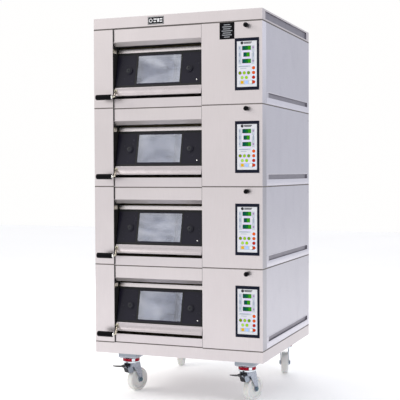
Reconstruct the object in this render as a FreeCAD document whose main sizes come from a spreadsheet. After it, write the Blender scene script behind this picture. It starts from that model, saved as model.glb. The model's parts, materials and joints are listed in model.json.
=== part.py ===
import FreeCAD, Part
import math
import os
import re

import Sketcher
from FreeCAD import Rotation, Vector

# Electric deck oven: four equal decks on a plinth with casters.
# Frame: +X to the operator's right, +Y to the back, +Z up, millimetres.
# Origin: on the floor, under the middle of the bounding box.

DECKS = range(4)

# Driving dimensions. Lengths are in millimetres, angles in degrees.
# "across" is measured from the oven's left edge, "back" from its front plane,
# and "up" from the underside of a deck, unless the note says otherwise.
DIMENSIONS = [
    ("body_width", 960, "overall width of the decks"),
    ("body_depth", 938, "front plane to rear panel"),
    ("deck_height", 425, "height of one deck"),
    ("plinth_bottom", 244, "floor to plinth"),
    ("plinth_height", 60, "height of the plinth"),
    ("plinth_wall", 3, "walls of the plinth"),
    ("pad_wall", 4, "walls of the caster pads"),
    ("cap_height", 61, "height of the top cap"),
    ("cap_gap", 4, "shadow gap under the cap"),
    ("cap_wall", 11, "folded edge of the cap"),
    ("sheet_steel", 1.5, "thickness of the panels"),
    ("front_seam", 3, "seam between decks at the front"),
    ("side_seam", 5, "seam between decks at the sides"),
    ("corner_wrap", 67, "how far the front pieces wrap round the corners"),
    ("opening_left", 114, "across, left side of the door opening"),
    ("opening_right", 628.5, "across, right side of the door opening"),
    ("jamb_depth", 93, "depth of the flanges beside the door"),
    ("recess", 5, "back, face of the header and lower fascia"),
    ("header_bend", 354.5, "up, where the header starts to slope"),
    ("header_lip", 333, "up, bottom of the header"),
    ("header_lip_back", 30, "back, end of the header's slope"),
    ("lower_top", 48, "up, top of the lower fascia"),
    ("lower_flange", 34, "depth of the lower fascia's flange"),
    ("hinge_back", 74.3, "back, door hinge axis"),
    ("hinge_up", 306.6, "up, door hinge axis"),
    ("door_tilt", 13, "lean of the door from vertical"),
    ("door_side_gap", 5.5, "between door and jamb"),
    ("door_over_hinge", 12, "door top above the hinge axis, along the door"),
    ("door_under_hinge", 251.8, "door bottom below the hinge axis, along the door"),
    ("hinge_inset", 12, "door face in front of the hinge axis"),
    ("door_thickness", 40, "whole thickness of the door"),
    ("door_wall", 3, "rim of the door"),
    ("door_face", 6, "front skin of the door behind the glass panel"),
    ("window_surround", 9, "from the window to the far side of its surround"),
    ("door_corner", 5, "bevel of the door's rear top edge"),
    ("rail_height", 22.6, "stainless rail at the door's top"),
    ("sill_height", 47.2, "stainless sill at the door's bottom"),
    ("panel_recess", 5, "depth of the recess for the glass panel"),
    ("panel_inset", 0.4, "glass panel behind the door's face and inside its recess"),
    ("panel_step", 2.1, "raised middle of the glass panel"),
    ("panel_band", 11, "lower seal band beside the glass panel"),
    ("panel_top_band", 2.7, "upper seal band beside the glass panel"),
    ("window_left", 244, "across, left side of the window"),
    ("window_width", 249, "width of the window"),
    ("window_top", 30, "top of the window below the hinge axis"),
    ("window_height", 154, "height of the window along the door"),
    ("pane_thickness", 4, "glass panes"),
    ("pane_inset", 1.4, "front pane behind the door's face"),
    ("pane_play", 2, "door's window opening round the panes"),
    ("disc_left", 194, "across, left clamp disc"),
    ("disc_right", 545, "across, right clamp disc"),
    ("disc_drop", 111, "clamp discs below the hinge axis"),
    ("disc_radius", 20.5, "clamp discs"),
    ("disc_proud", 6, "clamp discs in front of the panel"),
    ("disc_screw_radius", 8, "screw heads on the clamp discs"),
    ("disc_screw_proud", 2, "screw heads on the clamp discs"),
    ("pin_radius", 4, "door hinge pins"),
    ("pin_play", 0.05, "radial running clearance of pins and axles"),
    ("pin_depth", 14, "hinge pin inside the door"),
    ("pin_head", 3, "how far a hinge pin's head is wider than the pin, and its height"),
    ("grip_left", 44, "across, left end of the grip"),
    ("grip_length", 92, "handle grip"),
    ("grip_radius", 14.5, "handle grip"),
    ("grip_round", 4, "rounding of the grip's ends"),
    ("grip_end", 8, "closed end of the grip"),
    ("grip_forward", 65, "grip axis in front of the door face"),
    ("grip_drop", 277, "grip axis below the hinge axis, along the door"),
    ("arm_radius", 4.75, "handle arm"),
    ("arm_root", 125, "across, foot of the arm on the sill"),
    ("arm_drop", 222, "foot of the arm below the hinge axis"),
    ("arm_bend", 12, "bend radius of the arm"),
    ("foot_radius", 8.75, "foot of the arm"),
    ("foot_height", 4, "foot of the arm"),
    ("ferrule_radius", 8.25, "ring between grip and arm"),
    ("ferrule_length", 6, "ring between grip and arm"),
    ("liner_left", 125, "across, inside of the chamber"),
    ("liner_right", 614, "across, inside of the chamber"),
    ("liner_back", 850, "back, inside of the chamber"),
    ("liner_floor", 64, "up, inside of the chamber"),
    ("liner_top", 294, "up, inside of the chamber"),
    ("liner_steel", 2, "thickness of the chamber walls"),
    ("seat_gap", 1.3, "between door and mouth frame"),
    ("mouth_top", 10, "top of the mouth below the hinge axis"),
    ("mouth_bottom", 197, "bottom of the mouth below the hinge axis"),
    ("mouth_head", 3, "top of the mouth frame above the hinge axis"),
    ("mouth_foot", 245.8, "bottom of the mouth frame below the hinge axis"),
    ("stone_bottom", 92, "up, underside of the hearth stone"),
    ("stone_thickness", 18, "hearth stone"),
    ("stone_front", 92, "back, front edge of the hearth stone"),
    ("stone_play", 2, "hearth stone away from the chamber walls"),
    ("ledge", 12, "width of the ledges under the stone"),
    ("ledge_height", 10, "ledges under the stone"),
    ("element_radius", 4, "heating elements"),
    ("element_first", 175, "back, first heating element"),
    ("element_pitch", 145, "spacing of the heating elements"),
    ("lower_element_up", 72, "up, lower heating elements"),
    ("upper_element_up", 284, "up, upper heating elements"),
    ("partition_across", 715, "across, wall of the control compartment"),
    ("partition_top", 368, "up, top of that wall"),
    ("lining_edge", 14, "insulation away from the side panels"),
    ("lining_front", 132, "back, front of the insulation"),
    ("lining_rear", 924, "back, rear of the insulation"),
    ("lining_bottom", 4, "up, underside of the insulation"),
    ("lining_top", 417, "up, top of the insulation"),
    ("lining_gap", 1, "insulation away from the sheets beside it"),
    ("tray_steel", 2, "floor sheet of a deck"),
    ("tray_edge", 3, "floor sheet away from the sides and the rear"),
    ("tray_front", 119, "back, front edge of the floor sheet"),
    ("partition_ends", 10, "control compartment's wall away from jamb and rear panel"),
    ("lamp_radius", 24, "chamber lamp"),
    ("lamp_depth", 11, "chamber lamp inside the chamber"),
    ("lamp_back", 730, "back, chamber lamp"),
    ("lamp_up", 235, "up, chamber lamp"),
    ("duct_left", 570, "across, exhaust duct"),
    ("duct_right", 911, "across, exhaust duct"),
    ("duct_front", 856, "back, exhaust duct"),
    ("duct_bottom", 376, "up, exhaust duct"),
    ("duct_height", 47, "exhaust duct"),
    ("duct_gap", 5, "exhaust duct in front of the rear panel"),
    ("riser_width", 60, "riser of the exhaust duct"),
    ("riser_bottom", 250, "up, riser of the exhaust duct"),
    ("spigot_radius", 18.5, "vent spigot, outside"),
    ("spigot_reach", 40, "vent spigot behind the rear panel"),
    ("spigot_seat", 3, "start of the spigot's collar behind the rear panel"),
    ("spigot_neck", 17.5, "radius of the vent spigot in the rear panel"),
    ("spigot_bore", 16, "radius of the vent spigot's bore"),
    ("spigot_flange", 26, "radius of the vent spigot's flange"),
    ("damper_across", 878, "across, damper rod"),
    ("damper_up", 401, "up, damper rod"),
    ("damper_rod_radius", 4, "damper rod"),
    ("damper_disc_radius", 19.5, "damper disc in the duct"),
    ("damper_disc_thickness", 3, "damper disc in the duct"),
    ("damper_collar", 7, "radius of the knob's collar"),
    ("damper_collar_rear", 2.5, "rear of the knob's collar in front of the fascia"),
    ("damper_collar_front", 14.25, "front of the knob's collar in front of the fascia"),
    ("knob_radius", 12.5, "ball knob"),
    ("knob_forward", 24, "centre of the ball knob in front of the fascia"),
    ("bezel_left", 812.5, "across, control panel"),
    ("bezel_bottom", 71, "up, control panel"),
    ("bezel_width", 130, "control panel"),
    ("bezel_height", 267, "control panel"),
    ("bezel_border", 11, "sides of the control panel's frame"),
    ("bezel_end_border", 16, "top and bottom of the control panel's frame"),
    ("bezel_proud", 3, "control panel in front of the fascia"),
    ("overlay_thickness", 2, "keypad overlay"),
    ("display_across", 63.5, "middle of the displays, from the bezel's left"),
    ("display_down", 52, "middle of the first display, from the bezel's top"),
    ("display_pitch", 33.5, "spacing of the displays"),
    ("display_width", 46, "three-digit display"),
    ("display_narrow", 33, "two-digit display"),
    ("display_height", 21, "displays"),
    ("display_depth", 12, "displays"),
    ("key_radius", 8.8, "round keys"),
    ("key_half", 7.6, "half the side of the square keys"),
    ("key_proud", 0.8, "keys on the overlay"),
    ("key_first", 28, "first key across, from the bezel's left"),
    ("key_pitch", 23, "spacing of the keys across"),
    ("key_column", 101, "right-hand key column, from the bezel's left"),
    ("key_down", 155, "first key row, from the bezel's top"),
    ("key_row_pitch", 24, "spacing of the key rows"),
    ("board_back", 16, "back, control board"),
    ("board_margin", 18, "control board inside the bezel"),
    ("board_thickness", 1.6, "control board"),
    ("badge_across", 323, "across, name badge on the cap"),
    ("badge_width", 92, "name badge"),
    ("badge_height", 42, "name badge"),
    ("rating_across", 729, "across, rating plate"),
    ("rating_up", 336, "up, rating plate"),
    ("rating_width", 81, "rating plate"),
    ("rating_height", 86, "rating plate"),
    ("plate_proud", 1.5, "thickness of badge and rating plate"),
    ("slot_margin", 40, "ends of the side slot from the panel's ends"),
    ("slot_bottom", 37, "up, side slot"),
    ("slot_height", 25, "side slot"),
    ("slot_depth", 8.5, "side slot"),
    ("cap_slot_up", 12, "bottom of the cap's side band above the cap's bottom"),
    ("cap_slot_height", 40, "side band of the cap"),
    ("cap_slot_ends", 55, "ends of the cap's side band from the cap's ends"),
    ("screw_radius", 2.5, "panel screws"),
    ("screw_head", 5, "radius of the screw heads"),
    ("screw_head_height", 1.5, "screw heads"),
    ("screw_length", 9, "panel screws"),
    ("screw_edge", 14, "side screws from the rear edge"),
    ("screw_up", 380, "up, side screws"),
    ("rear_screw_side", 60, "rear screws from the body's sides"),
    ("rear_screw_low", 40, "up, lower rear screws"),
    ("rear_screw_high", 350, "up, upper rear screws"),
    ("gland_across", 820, "across, cable gland"),
    ("gland_up", 110, "up, cable gland"),
    ("gland_bore", 6, "radius of the cable gland's bore"),
    ("gland_radius", 11, "cable gland"),
    ("gland_neck", 8, "radius of the cable gland in the rear panel"),
    ("gland_inside", 12, "cable gland inside the rear panel"),
    ("gland_bevel", 4, "length of the gland's bevel"),
    ("gland_reach", 24, "cable gland behind the rear panel"),
    ("caster_across", 342, "swivel axes from the middle"),
    ("caster_front", 161, "back, front swivel axes"),
    ("caster_rear", 884, "back, rear swivel axes"),
    ("front_swivel", 70, "direction in which the front wheels trail"),
    ("rear_swivel", 103, "direction in which the rear wheels trail"),
    ("trail", 48, "swivel axis to wheel axle"),
    ("wheel_radius", 65, "caster wheels"),
    ("wheel_half", 19.5, "half the width of a wheel"),
    ("axle_radius", 5, "wheel axles"),
    ("nut_radius", 9, "axle nuts"),
    ("nut_height", 5, "axle nuts"),
    ("fork_half", 26, "half the width of the fork"),
    ("fork_gap_half", 22.5, "half the gap of the fork"),
    ("fork_top", 177, "top of the fork's disc"),
    ("fork_disc", 8, "thickness of the fork's disc"),
    ("fork_radius", 44, "fork's disc"),
    ("ring_radius", 47, "lock ring"),
    ("ring_height", 17, "lock ring"),
    ("ring_notch", 14, "notch of the lock ring"),
    ("ring_turn", 310, "direction in which the notches face"),
    ("race_radius", 32, "bearing cup on the top plate"),
    ("plate_size", 106, "caster top plate"),
    ("plate_thickness", 4, "caster top plate"),
    ("plate_top", 205, "top of the caster plate"),
    ("bolt_spacing", 84, "caster plate bolts"),
    ("bolt_radius", 4, "caster plate bolts"),
    ("bolt_head", 6.5, "heads of the plate bolts"),
    ("bolt_head_height", 5, "heads of the plate bolts"),
    ("bolt_length", 22, "shanks of the plate bolts"),
    ("bolt_hole", 24, "depth of the holes for the plate bolts"),
    ("kingpin_radius", 6, "kingpin of a caster"),
    ("pedal_back", 20, "brake pivot ahead of the swivel axis"),
    ("pedal_up", 150, "brake pivot above the floor"),
    ("pedal_half", 17, "half the width of the brake pedal"),
    ("loose", 0.5, "free gap between turning pieces"),
    ("fit", 0.2, "gap between pieces that sit close together"),
]

doc = FreeCAD.newDocument("DeckOven")
sheet = doc.addObject("Spreadsheet::Sheet", "dims")
for row, (alias, value, note) in enumerate(DIMENSIONS, start=1):
    sheet.set("A%d" % row, alias)
    sheet.set("B%d" % row, str(value))
    sheet.set("C%d" % row, note)
    sheet.setAlias("B%d" % row, alias)
doc.recompute()

nodes = []


# ---------------------------------------------------------------- expressions

def link(text):
    """The expression with the sheet's name in front of each alias."""
    return re.sub(r"[a-z][a-z_0-9]*(?![a-z_0-9(])", r"dims.\g<0>", str(text))


def number(text):
    return float(sheet.evalExpression(link(text)))


def bind(item, prop, text):
    item.setExpression(prop, link(text))


def both(first, second):
    return "(%s) + (%s)" % (first, second)


def across(text):
    """X of a place measured from the left edge."""
    return "(-body_width / 2 + %s)" % text


# The grip in front and the vent spigots behind are the two ends of the bounding box.
GRIP_REACH = (
    "((grip_forward + hinge_inset) * cos(door_tilt) + grip_drop * sin(door_tilt)"
    " + grip_radius - hinge_back)"
)
FRONT = "((%s - body_depth - spigot_reach) / 2)" % GRIP_REACH


def back(text):
    """Y of a place measured from the front plane."""
    return "(%s + %s)" % (FRONT, text)


def up(deck, text):
    """Z of a place measured from the underside of a deck."""
    return "(plinth_bottom + plinth_height + %d * deck_height + %s)" % (deck, text)


CAP_BOTTOM = up(len(DECKS), "0")


# ---------------------------------------------------------------- construction

def put(item, at, turn=None):
    """Bind a place to the sheet; the turn, if any, is set first."""
    if turn:
        item.Placement = FreeCAD.Placement(Vector(), turn)
    for axis, text in zip("xyz", at):
        bind(item, "Placement.Base." + axis, text)
    return item


def put_on_door(item, deck):
    """Place a piece made in a door's own frame: origin on the hinge axis, Z along the door."""
    put(item, ("0", back("hinge_back"), up(deck, "hinge_up")), Rotation(Vector(-1, 0, 0), 1))
    bind(item, "Placement.Rotation.Angle", "door_tilt")
    return item


def put_on_caster(item, spot, trail="0", height="0"):
    """Place a piece made in a caster's own frame: X points along the trail."""
    side, depth, swivel = spot
    at = (
        both("%d * caster_across" % side, "%s * cos(%s)" % (trail, swivel)),
        both(back(depth), "%s * sin(%s)" % (trail, swivel)),
        height,
    )
    put(item, at, Rotation(Vector(0, 0, 1), 1))
    bind(item, "Placement.Rotation.Angle", swivel)
    return item


def box(name, size, at):
    item = doc.addObject("Part::Box", name)
    for prop, text in zip(("Length", "Width", "Height"), size):
        bind(item, prop, text)
    return put(item, at)


TURNS = {
    "x": Rotation(Vector(0, 1, 0), 90),
    "y": Rotation(Vector(1, 0, 0), -90),
    "z": Rotation(),
}


def rod(name, radius, length, at, axis="z"):
    """A cylinder that starts at a place and runs along +axis."""
    item = doc.addObject("Part::Cylinder", name)
    bind(item, "Radius", radius)
    bind(item, "Height", length)
    return put(item, at, TURNS[axis])


def fuse(name, pieces):
    item = doc.addObject("Part::MultiFuse", name)
    item.Shapes = pieces
    return item


def cut(name, base, tools):
    item = doc.addObject("Part::Cut", name)
    item.Base = base
    item.Tool = tools[0] if len(tools) == 1 else fuse(name + "_tools", tools)
    return item


def compound(name, pieces):
    item = doc.addObject("Part::Compound", name)
    item.Links = pieces
    return item


def node(item, label):
    """Name a finished sub-part; its label is also its file's name."""
    item.Label = label
    nodes.append(item)
    return item


# Depth of a cut that goes right through a sheet.
THROUGH = "10"


def new_body(name):
    return doc.addObject("PartDesign::Body", name)


def new_sketch(body, role, offset="0"):
    """A sketch on one of the body's own origin planes, lifted off it by offset."""
    plane = [item for item in body.Origin.OriginFeatures if item.Role == role][0]
    sketch = body.newObject("Sketcher::SketchObject", "sketch")
    sketch.AttachmentSupport = [(plane, "")]
    sketch.MapMode = "FlatFace"
    if offset != "0":
        bind(sketch, "AttachmentOffset.Base.z", offset)
    return sketch


def hold(sketch, geometry, point, place):
    """Tie a point of a sketch to the sheet, measured from the sketch's origin."""
    for kind, text in zip(("DistanceX", "DistanceY"), place):
        rule = Sketcher.Constraint(kind, -1, 1, geometry, point, number(text))
        index = sketch.addConstraint(rule)
        bind(sketch, "Constraints[%d]" % index, text)


def polygon(sketch, points):
    places = [Vector(number(first), number(second), 0) for first, second in points]
    start = sketch.GeometryCount
    count = len(places)
    for index in range(count):
        following = places[(index + 1) % count]
        sketch.addGeometry(Part.LineSegment(places[index], following))
    for index in range(count):
        following = start + (index + 1) % count
        sketch.addConstraint(Sketcher.Constraint("Coincident", start + index, 2, following, 1))
    for index, place in enumerate(points):
        hold(sketch, start + index, 1, place)
    return sketch


def rectangle(sketch, low, high):
    corners = [(low[0], low[1]), (high[0], low[1]), (high[0], high[1]), (low[0], high[1])]
    return polygon(sketch, corners)


def circle(sketch, centre, radius):
    middle = Vector(number(centre[0]), number(centre[1]), 0)
    index = sketch.addGeometry(Part.Circle(middle, Vector(0, 0, 1), number(radius)))
    hold(sketch, index, 3, centre)
    rule = sketch.addConstraint(Sketcher.Constraint("Radius", index, number(radius)))
    bind(sketch, "Constraints[%d]" % rule, radius)
    return sketch


def pad(body, sketch, length, middle=False, flip=False):
    feature = body.newObject("PartDesign::Pad", "pad")
    feature.Profile = sketch
    bind(feature, "Length", length)
    feature.Midplane = middle
    feature.Reversed = flip
    return feature


def pocket(body, sketch, length, middle=False, flip=False):
    """Cut a sketch into the body and check that it removed something."""
    doc.recompute()
    before = body.Shape.Volume
    feature = body.newObject("PartDesign::Pocket", "pocket")
    feature.Profile = sketch
    bind(feature, "Length", length)
    feature.Midplane = middle
    feature.Reversed = flip
    doc.recompute()
    if body.Shape.Volume >= before:
        raise RuntimeError("a pocket of %s cuts nothing" % body.Name)
    return feature


def revolve(body, sketch, axis="V_Axis"):
    feature = body.newObject("PartDesign::Revolution", "revolution")
    feature.Profile = sketch
    feature.ReferenceAxis = (sketch, [axis])
    feature.Angle = 360
    return feature


def on_each_deck(label, make):
    """One node that holds the same piece of every deck."""
    return node(compound(label, [make(deck) for deck in DECKS]), label)


def copy_of(master, at, turn):
    item = doc.addObject("App::Link", master.Name + "_copy")
    item.LinkedObject = master
    return put(item, at, turn)


# ---------------------------------------------------------------- cap and plinth

def make_top_cap():
    """Folded cap, open underneath, with a recessed band along each side."""
    cap = new_body("cap")
    half = "body_width / 2"
    outer = rectangle(new_sketch(cap, "XY_Plane"), ("-" + half, "0"), (half, "body_depth"))
    pad(cap, outer, "cap_height - cap_gap")
    inner = rectangle(
        new_sketch(cap, "XY_Plane"),
        ("-%s + cap_wall" % half, "cap_wall"),
        ("%s - cap_wall" % half, "body_depth - cap_wall"),
    )
    pocket(cap, inner, "cap_height - cap_gap - sheet_steel", flip=True)
    for side, flip in (("-", False), ("", True)):
        band = rectangle(
            new_sketch(cap, "YZ_Plane", side + half),
            ("cap_slot_ends", "cap_slot_up - cap_gap"),
            ("body_depth - cap_slot_ends", "cap_slot_up + cap_slot_height - cap_gap"),
        )
        pocket(cap, band, "slot_depth", flip=not flip)
    put(cap, ("0", FRONT, both(CAP_BOTTOM, "cap_gap")))
    node(cap, "top_cap")


CASTER_SPOTS = [
    (-1, "caster_front", "front_swivel"),
    (1, "caster_front", "front_swivel"),
    (-1, "caster_rear", "rear_swivel"),
    (1, "caster_rear", "rear_swivel"),
]


def bolt_places(spot):
    """Middles of the four bolts of one caster plate."""
    side, depth, _ = spot
    for right in (-1, 1):
        for rear in (-1, 1):
            yield (
                both("%d * caster_across" % side, "%d * bolt_spacing / 2" % right),
                both(back(depth), "%d * bolt_spacing / 2" % rear),
            )


def make_caster_pad(spot):
    """Open-topped steel box under the plinth, drilled for the bolts of one caster."""
    side, depth, _ = spot
    x = "%d * caster_across" % side
    height = "plinth_bottom - plate_top"

    def corner(inset, z):
        return both(x, inset + " - plate_size / 2"), both(back(depth), inset + " - plate_size / 2"), z

    inner = "plate_size - 2 * pad_wall"
    block = box("pad_outer", ("plate_size", "plate_size", height), corner("0", "plate_top"))
    hollow = box("pad_inner", (inner, inner, height), corner("pad_wall", "plate_top + 2 * pad_wall"))
    holes = [
        rod("pad_hole", "bolt_radius", "bolt_hole", (bolt_x, bolt_y, "plate_top - plate_thickness"))
        for bolt_x, bolt_y in bolt_places(spot)
    ]
    return cut("caster_pad", block, [hollow] + holes)


def make_base_frame():
    """Plinth of four upright walls on a floor sheet, with a pad for each caster."""
    wall = "plinth_wall"
    tall = "plinth_height - sheet_steel"
    low = both("plinth_bottom", "sheet_steel")
    wide = "body_width"
    long_side = "body_depth - 2 * " + wall
    pieces = [
        box("plinth_floor", (wide, "body_depth", "sheet_steel"), (across("0"), back("0"), "plinth_bottom")),
        box("plinth_front", (wide, wall, tall), (across("0"), back("0"), low)),
        box("plinth_rear", (wide, wall, tall), (across("0"), back("body_depth - " + wall), low)),
    ]
    for left in ("0", "body_width - " + wall):
        pieces.append(box("plinth_side", (wall, long_side, tall), (across(left), back(wall), low)))
    for index in (1, 2):
        rib_at = (across(wall), back("%d * body_depth / 3" % index), low)
        pieces.append(box("plinth_rib", ("body_width - 2 * " + wall, wall, tall), rib_at))
    pieces += [make_caster_pad(spot) for spot in CASTER_SPOTS]
    node(compound("base_frame", pieces), "base_frame")


# ---------------------------------------------------------------- casters

def make_caster_plate(spot):
    """Top plate with bearing cup and kingpin, drilled for its bolts."""
    side, depth, _ = spot
    x = "%d * caster_across" % side
    y = back(depth)
    plate_bottom = "plate_top - plate_thickness"
    cup_bottom = "fork_top + 4 * loose"
    head_top = "fork_top - fork_disc - loose"
    corner = (both(x, "-plate_size / 2"), both(y, "-plate_size / 2"), plate_bottom)
    plate = fuse("caster_plate", [
        box("plate", ("plate_size", "plate_size", "plate_thickness"), corner),
        rod("cup", "race_radius", "%s - (%s)" % (plate_bottom, cup_bottom), (x, y, cup_bottom)),
        rod("kingpin", "kingpin_radius", "%s - (%s)" % (cup_bottom, head_top), (x, y, head_top)),
        rod("kingpin_head", "kingpin_radius + plate_thickness", "plate_thickness",
            (x, y, head_top + " - plate_thickness")),
    ])
    holes = [rod("plate_hole", "bolt_radius", "plate_thickness", (bx, by, plate_bottom))
             for bx, by in bolt_places(spot)]
    return cut("drilled_plate", plate, holes)


def make_lock_ring(spot):
    """Ring round the bearing cup, with one notch."""
    side, depth, _ = spot
    ring = new_body("ring")
    sketch = new_sketch(ring, "XY_Plane")
    circle(sketch, ("0", "0"), "ring_radius")
    circle(sketch, ("0", "0"), "race_radius")
    pad(ring, sketch, "ring_height")
    notch = rectangle(
        new_sketch(ring, "XY_Plane"),
        ("ring_radius - ring_notch / 2", "-ring_notch / 2"),
        ("ring_radius + ring_notch / 2", "ring_notch / 2"),
    )
    pocket(ring, notch, "ring_height", flip=True)
    at = ("%d * caster_across" % side, back(depth), "fork_top + 2 * loose")
    put(ring, at, Rotation(Vector(0, 0, 1), 1))
    bind(ring, "Placement.Rotation.Angle", "ring_turn")
    return ring


def make_fork(number_of, spot):
    """Swivel disc with two legs, and the axle bolt across them."""
    fork = new_body("fork")
    disc_bottom = "fork_top - fork_disc"
    disc = circle(new_sketch(fork, "XY_Plane", disc_bottom), ("0", "0"), "fork_radius")
    pad(fork, disc, "fork_disc")
    legs = polygon(new_sketch(fork, "XZ_Plane"), [
        ("-pedal_back - 12", disc_bottom),
        ("trail - 6", disc_bottom),
        ("trail + 15", "wheel_radius + 20"),
        ("trail + 15", "wheel_radius - 6"),
        ("trail + 9", "wheel_radius - 15"),
        ("trail - 9", "wheel_radius - 15"),
        ("trail - 15", "wheel_radius - 6"),
        ("trail - 15", "wheel_radius + 20"),
        ("-4", "pedal_up - 8"),
        ("-pedal_back - 12", "pedal_up - 8"),
    ])
    pad(fork, legs, "2 * fork_half", middle=True)
    gap = rectangle(
        new_sketch(fork, "XZ_Plane"),
        ("-pedal_back - 14", "wheel_radius - 20"),
        ("trail + 20", disc_bottom),
    )
    pocket(fork, gap, "2 * fork_gap_half", middle=True)
    pivot = circle(new_sketch(fork, "XZ_Plane"), ("-pedal_back", "pedal_up"), "pin_radius + pin_play")
    pocket(fork, pivot, "2 * fork_half + 2", middle=True)
    eye = circle(new_sketch(fork, "XZ_Plane"), ("trail", "wheel_radius"), "axle_radius")
    pocket(fork, eye, "2 * fork_half + 2", middle=True)
    bore = circle(new_sketch(fork, "XY_Plane"), ("0", "0"), "kingpin_radius + pin_play")
    pocket(fork, bore, "fork_top + 1", flip=True)
    half = "(fork_half + nut_height + 1)"
    axle = rod("axle", "axle_radius", "2 * " + half, ("trail", "-" + half, "wheel_radius"), "y")
    nuts = [
        rod("axle_nut", "nut_radius", "nut_height", ("trail", place, "wheel_radius"), "y")
        for place in ("fork_half", "-fork_half - nut_height")
    ]
    swivel = compound("swivel", [fork, fuse("axle_bolt", [axle] + nuts)])
    node(put_on_caster(swivel, spot), "caster_fork_%d" % number_of)


def make_wheel(number_of, spot):
    """Nylon wheel with a crowned tread, a thin web and a long hub."""
    wheel = new_body("wheel")
    rim = "wheel_radius"
    half_section = [
        ("axle_radius + pin_play", "wheel_half + 1"),
        ("18", "wheel_half + 1"),
        ("21", "wheel_half - 5"),
        (rim + " - 19", "wheel_half - 8"),
        (rim + " - 13", "wheel_half - 1"),
        (rim + " - 4", "wheel_half - 1"),
        (rim, "wheel_half - 6"),
    ]
    mirrored = [(radius, "-(%s)" % half) for radius, half in reversed(half_section)]
    revolve(wheel, polygon(new_sketch(wheel, "XY_Plane"), half_section + mirrored))
    put_on_caster(wheel, spot, "trail", "wheel_radius")
    node(wheel, "caster_wheel_%d" % number_of)


def make_brake_pedal(number_of, spot):
    """Brake lever with its shoe and pivot pin, ahead of the wheel."""
    pedal = new_body("pedal")
    outline = polygon(new_sketch(pedal, "XZ_Plane"), [
        ("-pedal_back - 16", "pedal_up + 8"),
        ("-pedal_back + 12", "pedal_up + 8"),
        ("-pedal_back + 14", "pedal_up - 4"),
        ("-pedal_back + 30", "pedal_up - 10"),
        ("-pedal_back + 36", "pedal_up - 19"),
        ("-pedal_back + 25", "pedal_up - 25"),
        ("-pedal_back + 16", "pedal_up - 36"),
        ("-pedal_back - 2", "pedal_up - 42"),
        ("-pedal_back - 16", "pedal_up - 36"),
        ("-pedal_back - 24", "pedal_up - 14"),
        ("-pedal_back - 48", "pedal_up"),
        ("-pedal_back - 108", "pedal_up + 10"),
        ("-pedal_back - 108", "pedal_up + 15"),
        ("-pedal_back - 46", "pedal_up + 5"),
    ])
    pad(pedal, outline, "2 * pedal_half", middle=True)
    pin = circle(new_sketch(pedal, "XZ_Plane"), ("-pedal_back", "pedal_up"), "pin_radius")
    pad(pedal, pin, "2 * fork_half", middle=True)
    node(put_on_caster(pedal, spot), "brake_pedal_%d" % number_of)


def make_casters():
    node(compound("caster_plates", [make_caster_plate(spot) for spot in CASTER_SPOTS]), "caster_plates")
    rings = [make_lock_ring(spot) for spot in CASTER_SPOTS]
    node(compound("caster_lock_rings", rings), "caster_lock_rings")
    for number_of, spot in enumerate(CASTER_SPOTS, start=1):
        make_fork(number_of, spot)
        make_wheel(number_of, spot)
        if spot[1] == "caster_front":
            make_brake_pedal(number_of, spot)


# ---------------------------------------------------------------- deck outside

def make_front_post(deck):
    """Left front column: a face with a wrapped corner and the door's left jamb."""
    post = new_body("post")
    steel = "sheet_steel"
    outline = polygon(new_sketch(post, "XY_Plane"), [
        ("0", "0"),
        ("opening_left", "0"),
        ("opening_left", "jamb_depth"),
        ("opening_left - " + steel, "jamb_depth"),
        ("opening_left - " + steel, steel),
        (steel, steel),
        (steel, "corner_wrap"),
        ("0", "corner_wrap"),
    ])
    pad(post, outline, "deck_height - front_seam")
    hole = circle(new_sketch(post, "YZ_Plane"), ("hinge_back", "hinge_up - front_seam / 2"), "pin_radius")
    pocket(post, hole, "opening_left + 1", flip=True)
    return put(post, (across("0"), FRONT, up(deck, "front_seam / 2")))


def make_control_fascia(deck):
    """Right front panel: door jamb, face with the control cut-out, wrapped corner."""
    fascia = new_body("fascia")
    steel = "sheet_steel"
    width = "body_width - opening_right"
    outline = polygon(new_sketch(fascia, "XY_Plane"), [
        ("0", "0"),
        (width, "0"),
        (width, "corner_wrap"),
        ("%s - %s" % (width, steel), "corner_wrap"),
        ("%s - %s" % (width, steel), steel),
        (steel, steel),
        (steel, "jamb_depth"),
        ("0", "jamb_depth"),
    ])
    pad(fascia, outline, "deck_height - front_seam")
    hole = circle(new_sketch(fascia, "YZ_Plane"), ("hinge_back", "hinge_up - front_seam / 2"), "pin_radius")
    pocket(fascia, hole, THROUGH, flip=True)
    shift = "- opening_right"
    low = "- front_seam / 2"
    window = rectangle(
        new_sketch(fascia, "XZ_Plane"),
        ("bezel_left + bezel_border %s" % shift, "bezel_bottom + bezel_end_border %s" % low),
        (
            "bezel_left + bezel_width - bezel_border %s" % shift,
            "bezel_bottom + bezel_height - bezel_end_border %s" % low,
        ),
    )
    pocket(fascia, window, THROUGH)
    rod_hole = circle(
        new_sketch(fascia, "XZ_Plane"),
        ("damper_across " + shift, "damper_up " + low),
        "damper_rod_radius + loose",
    )
    pocket(fascia, rod_hole, THROUGH)
    return put(fascia, (across("opening_right"), FRONT, up(deck, "front_seam / 2")))


def make_header(deck):
    """Recessed panel over the door, with a sloped lip that bends inward."""
    header = new_body("header")
    steel = "sheet_steel"
    outline = polygon(new_sketch(header, "YZ_Plane"), [
        ("recess", "deck_height - front_seam"),
        ("recess", "header_bend"),
        ("header_lip_back", "header_lip"),
        ("jamb_depth", "header_lip"),
        ("jamb_depth", "header_lip + " + steel),
        ("header_lip_back + %s / 4" % steel, "header_lip + " + steel),
        ("recess + " + steel, "header_bend + %s * 0.6" % steel),
        ("recess + " + steel, "deck_height - front_seam"),
    ])
    pad(header, outline, "opening_right - opening_left")
    return put(header, (across("opening_left"), FRONT, up(deck, "0")))


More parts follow.
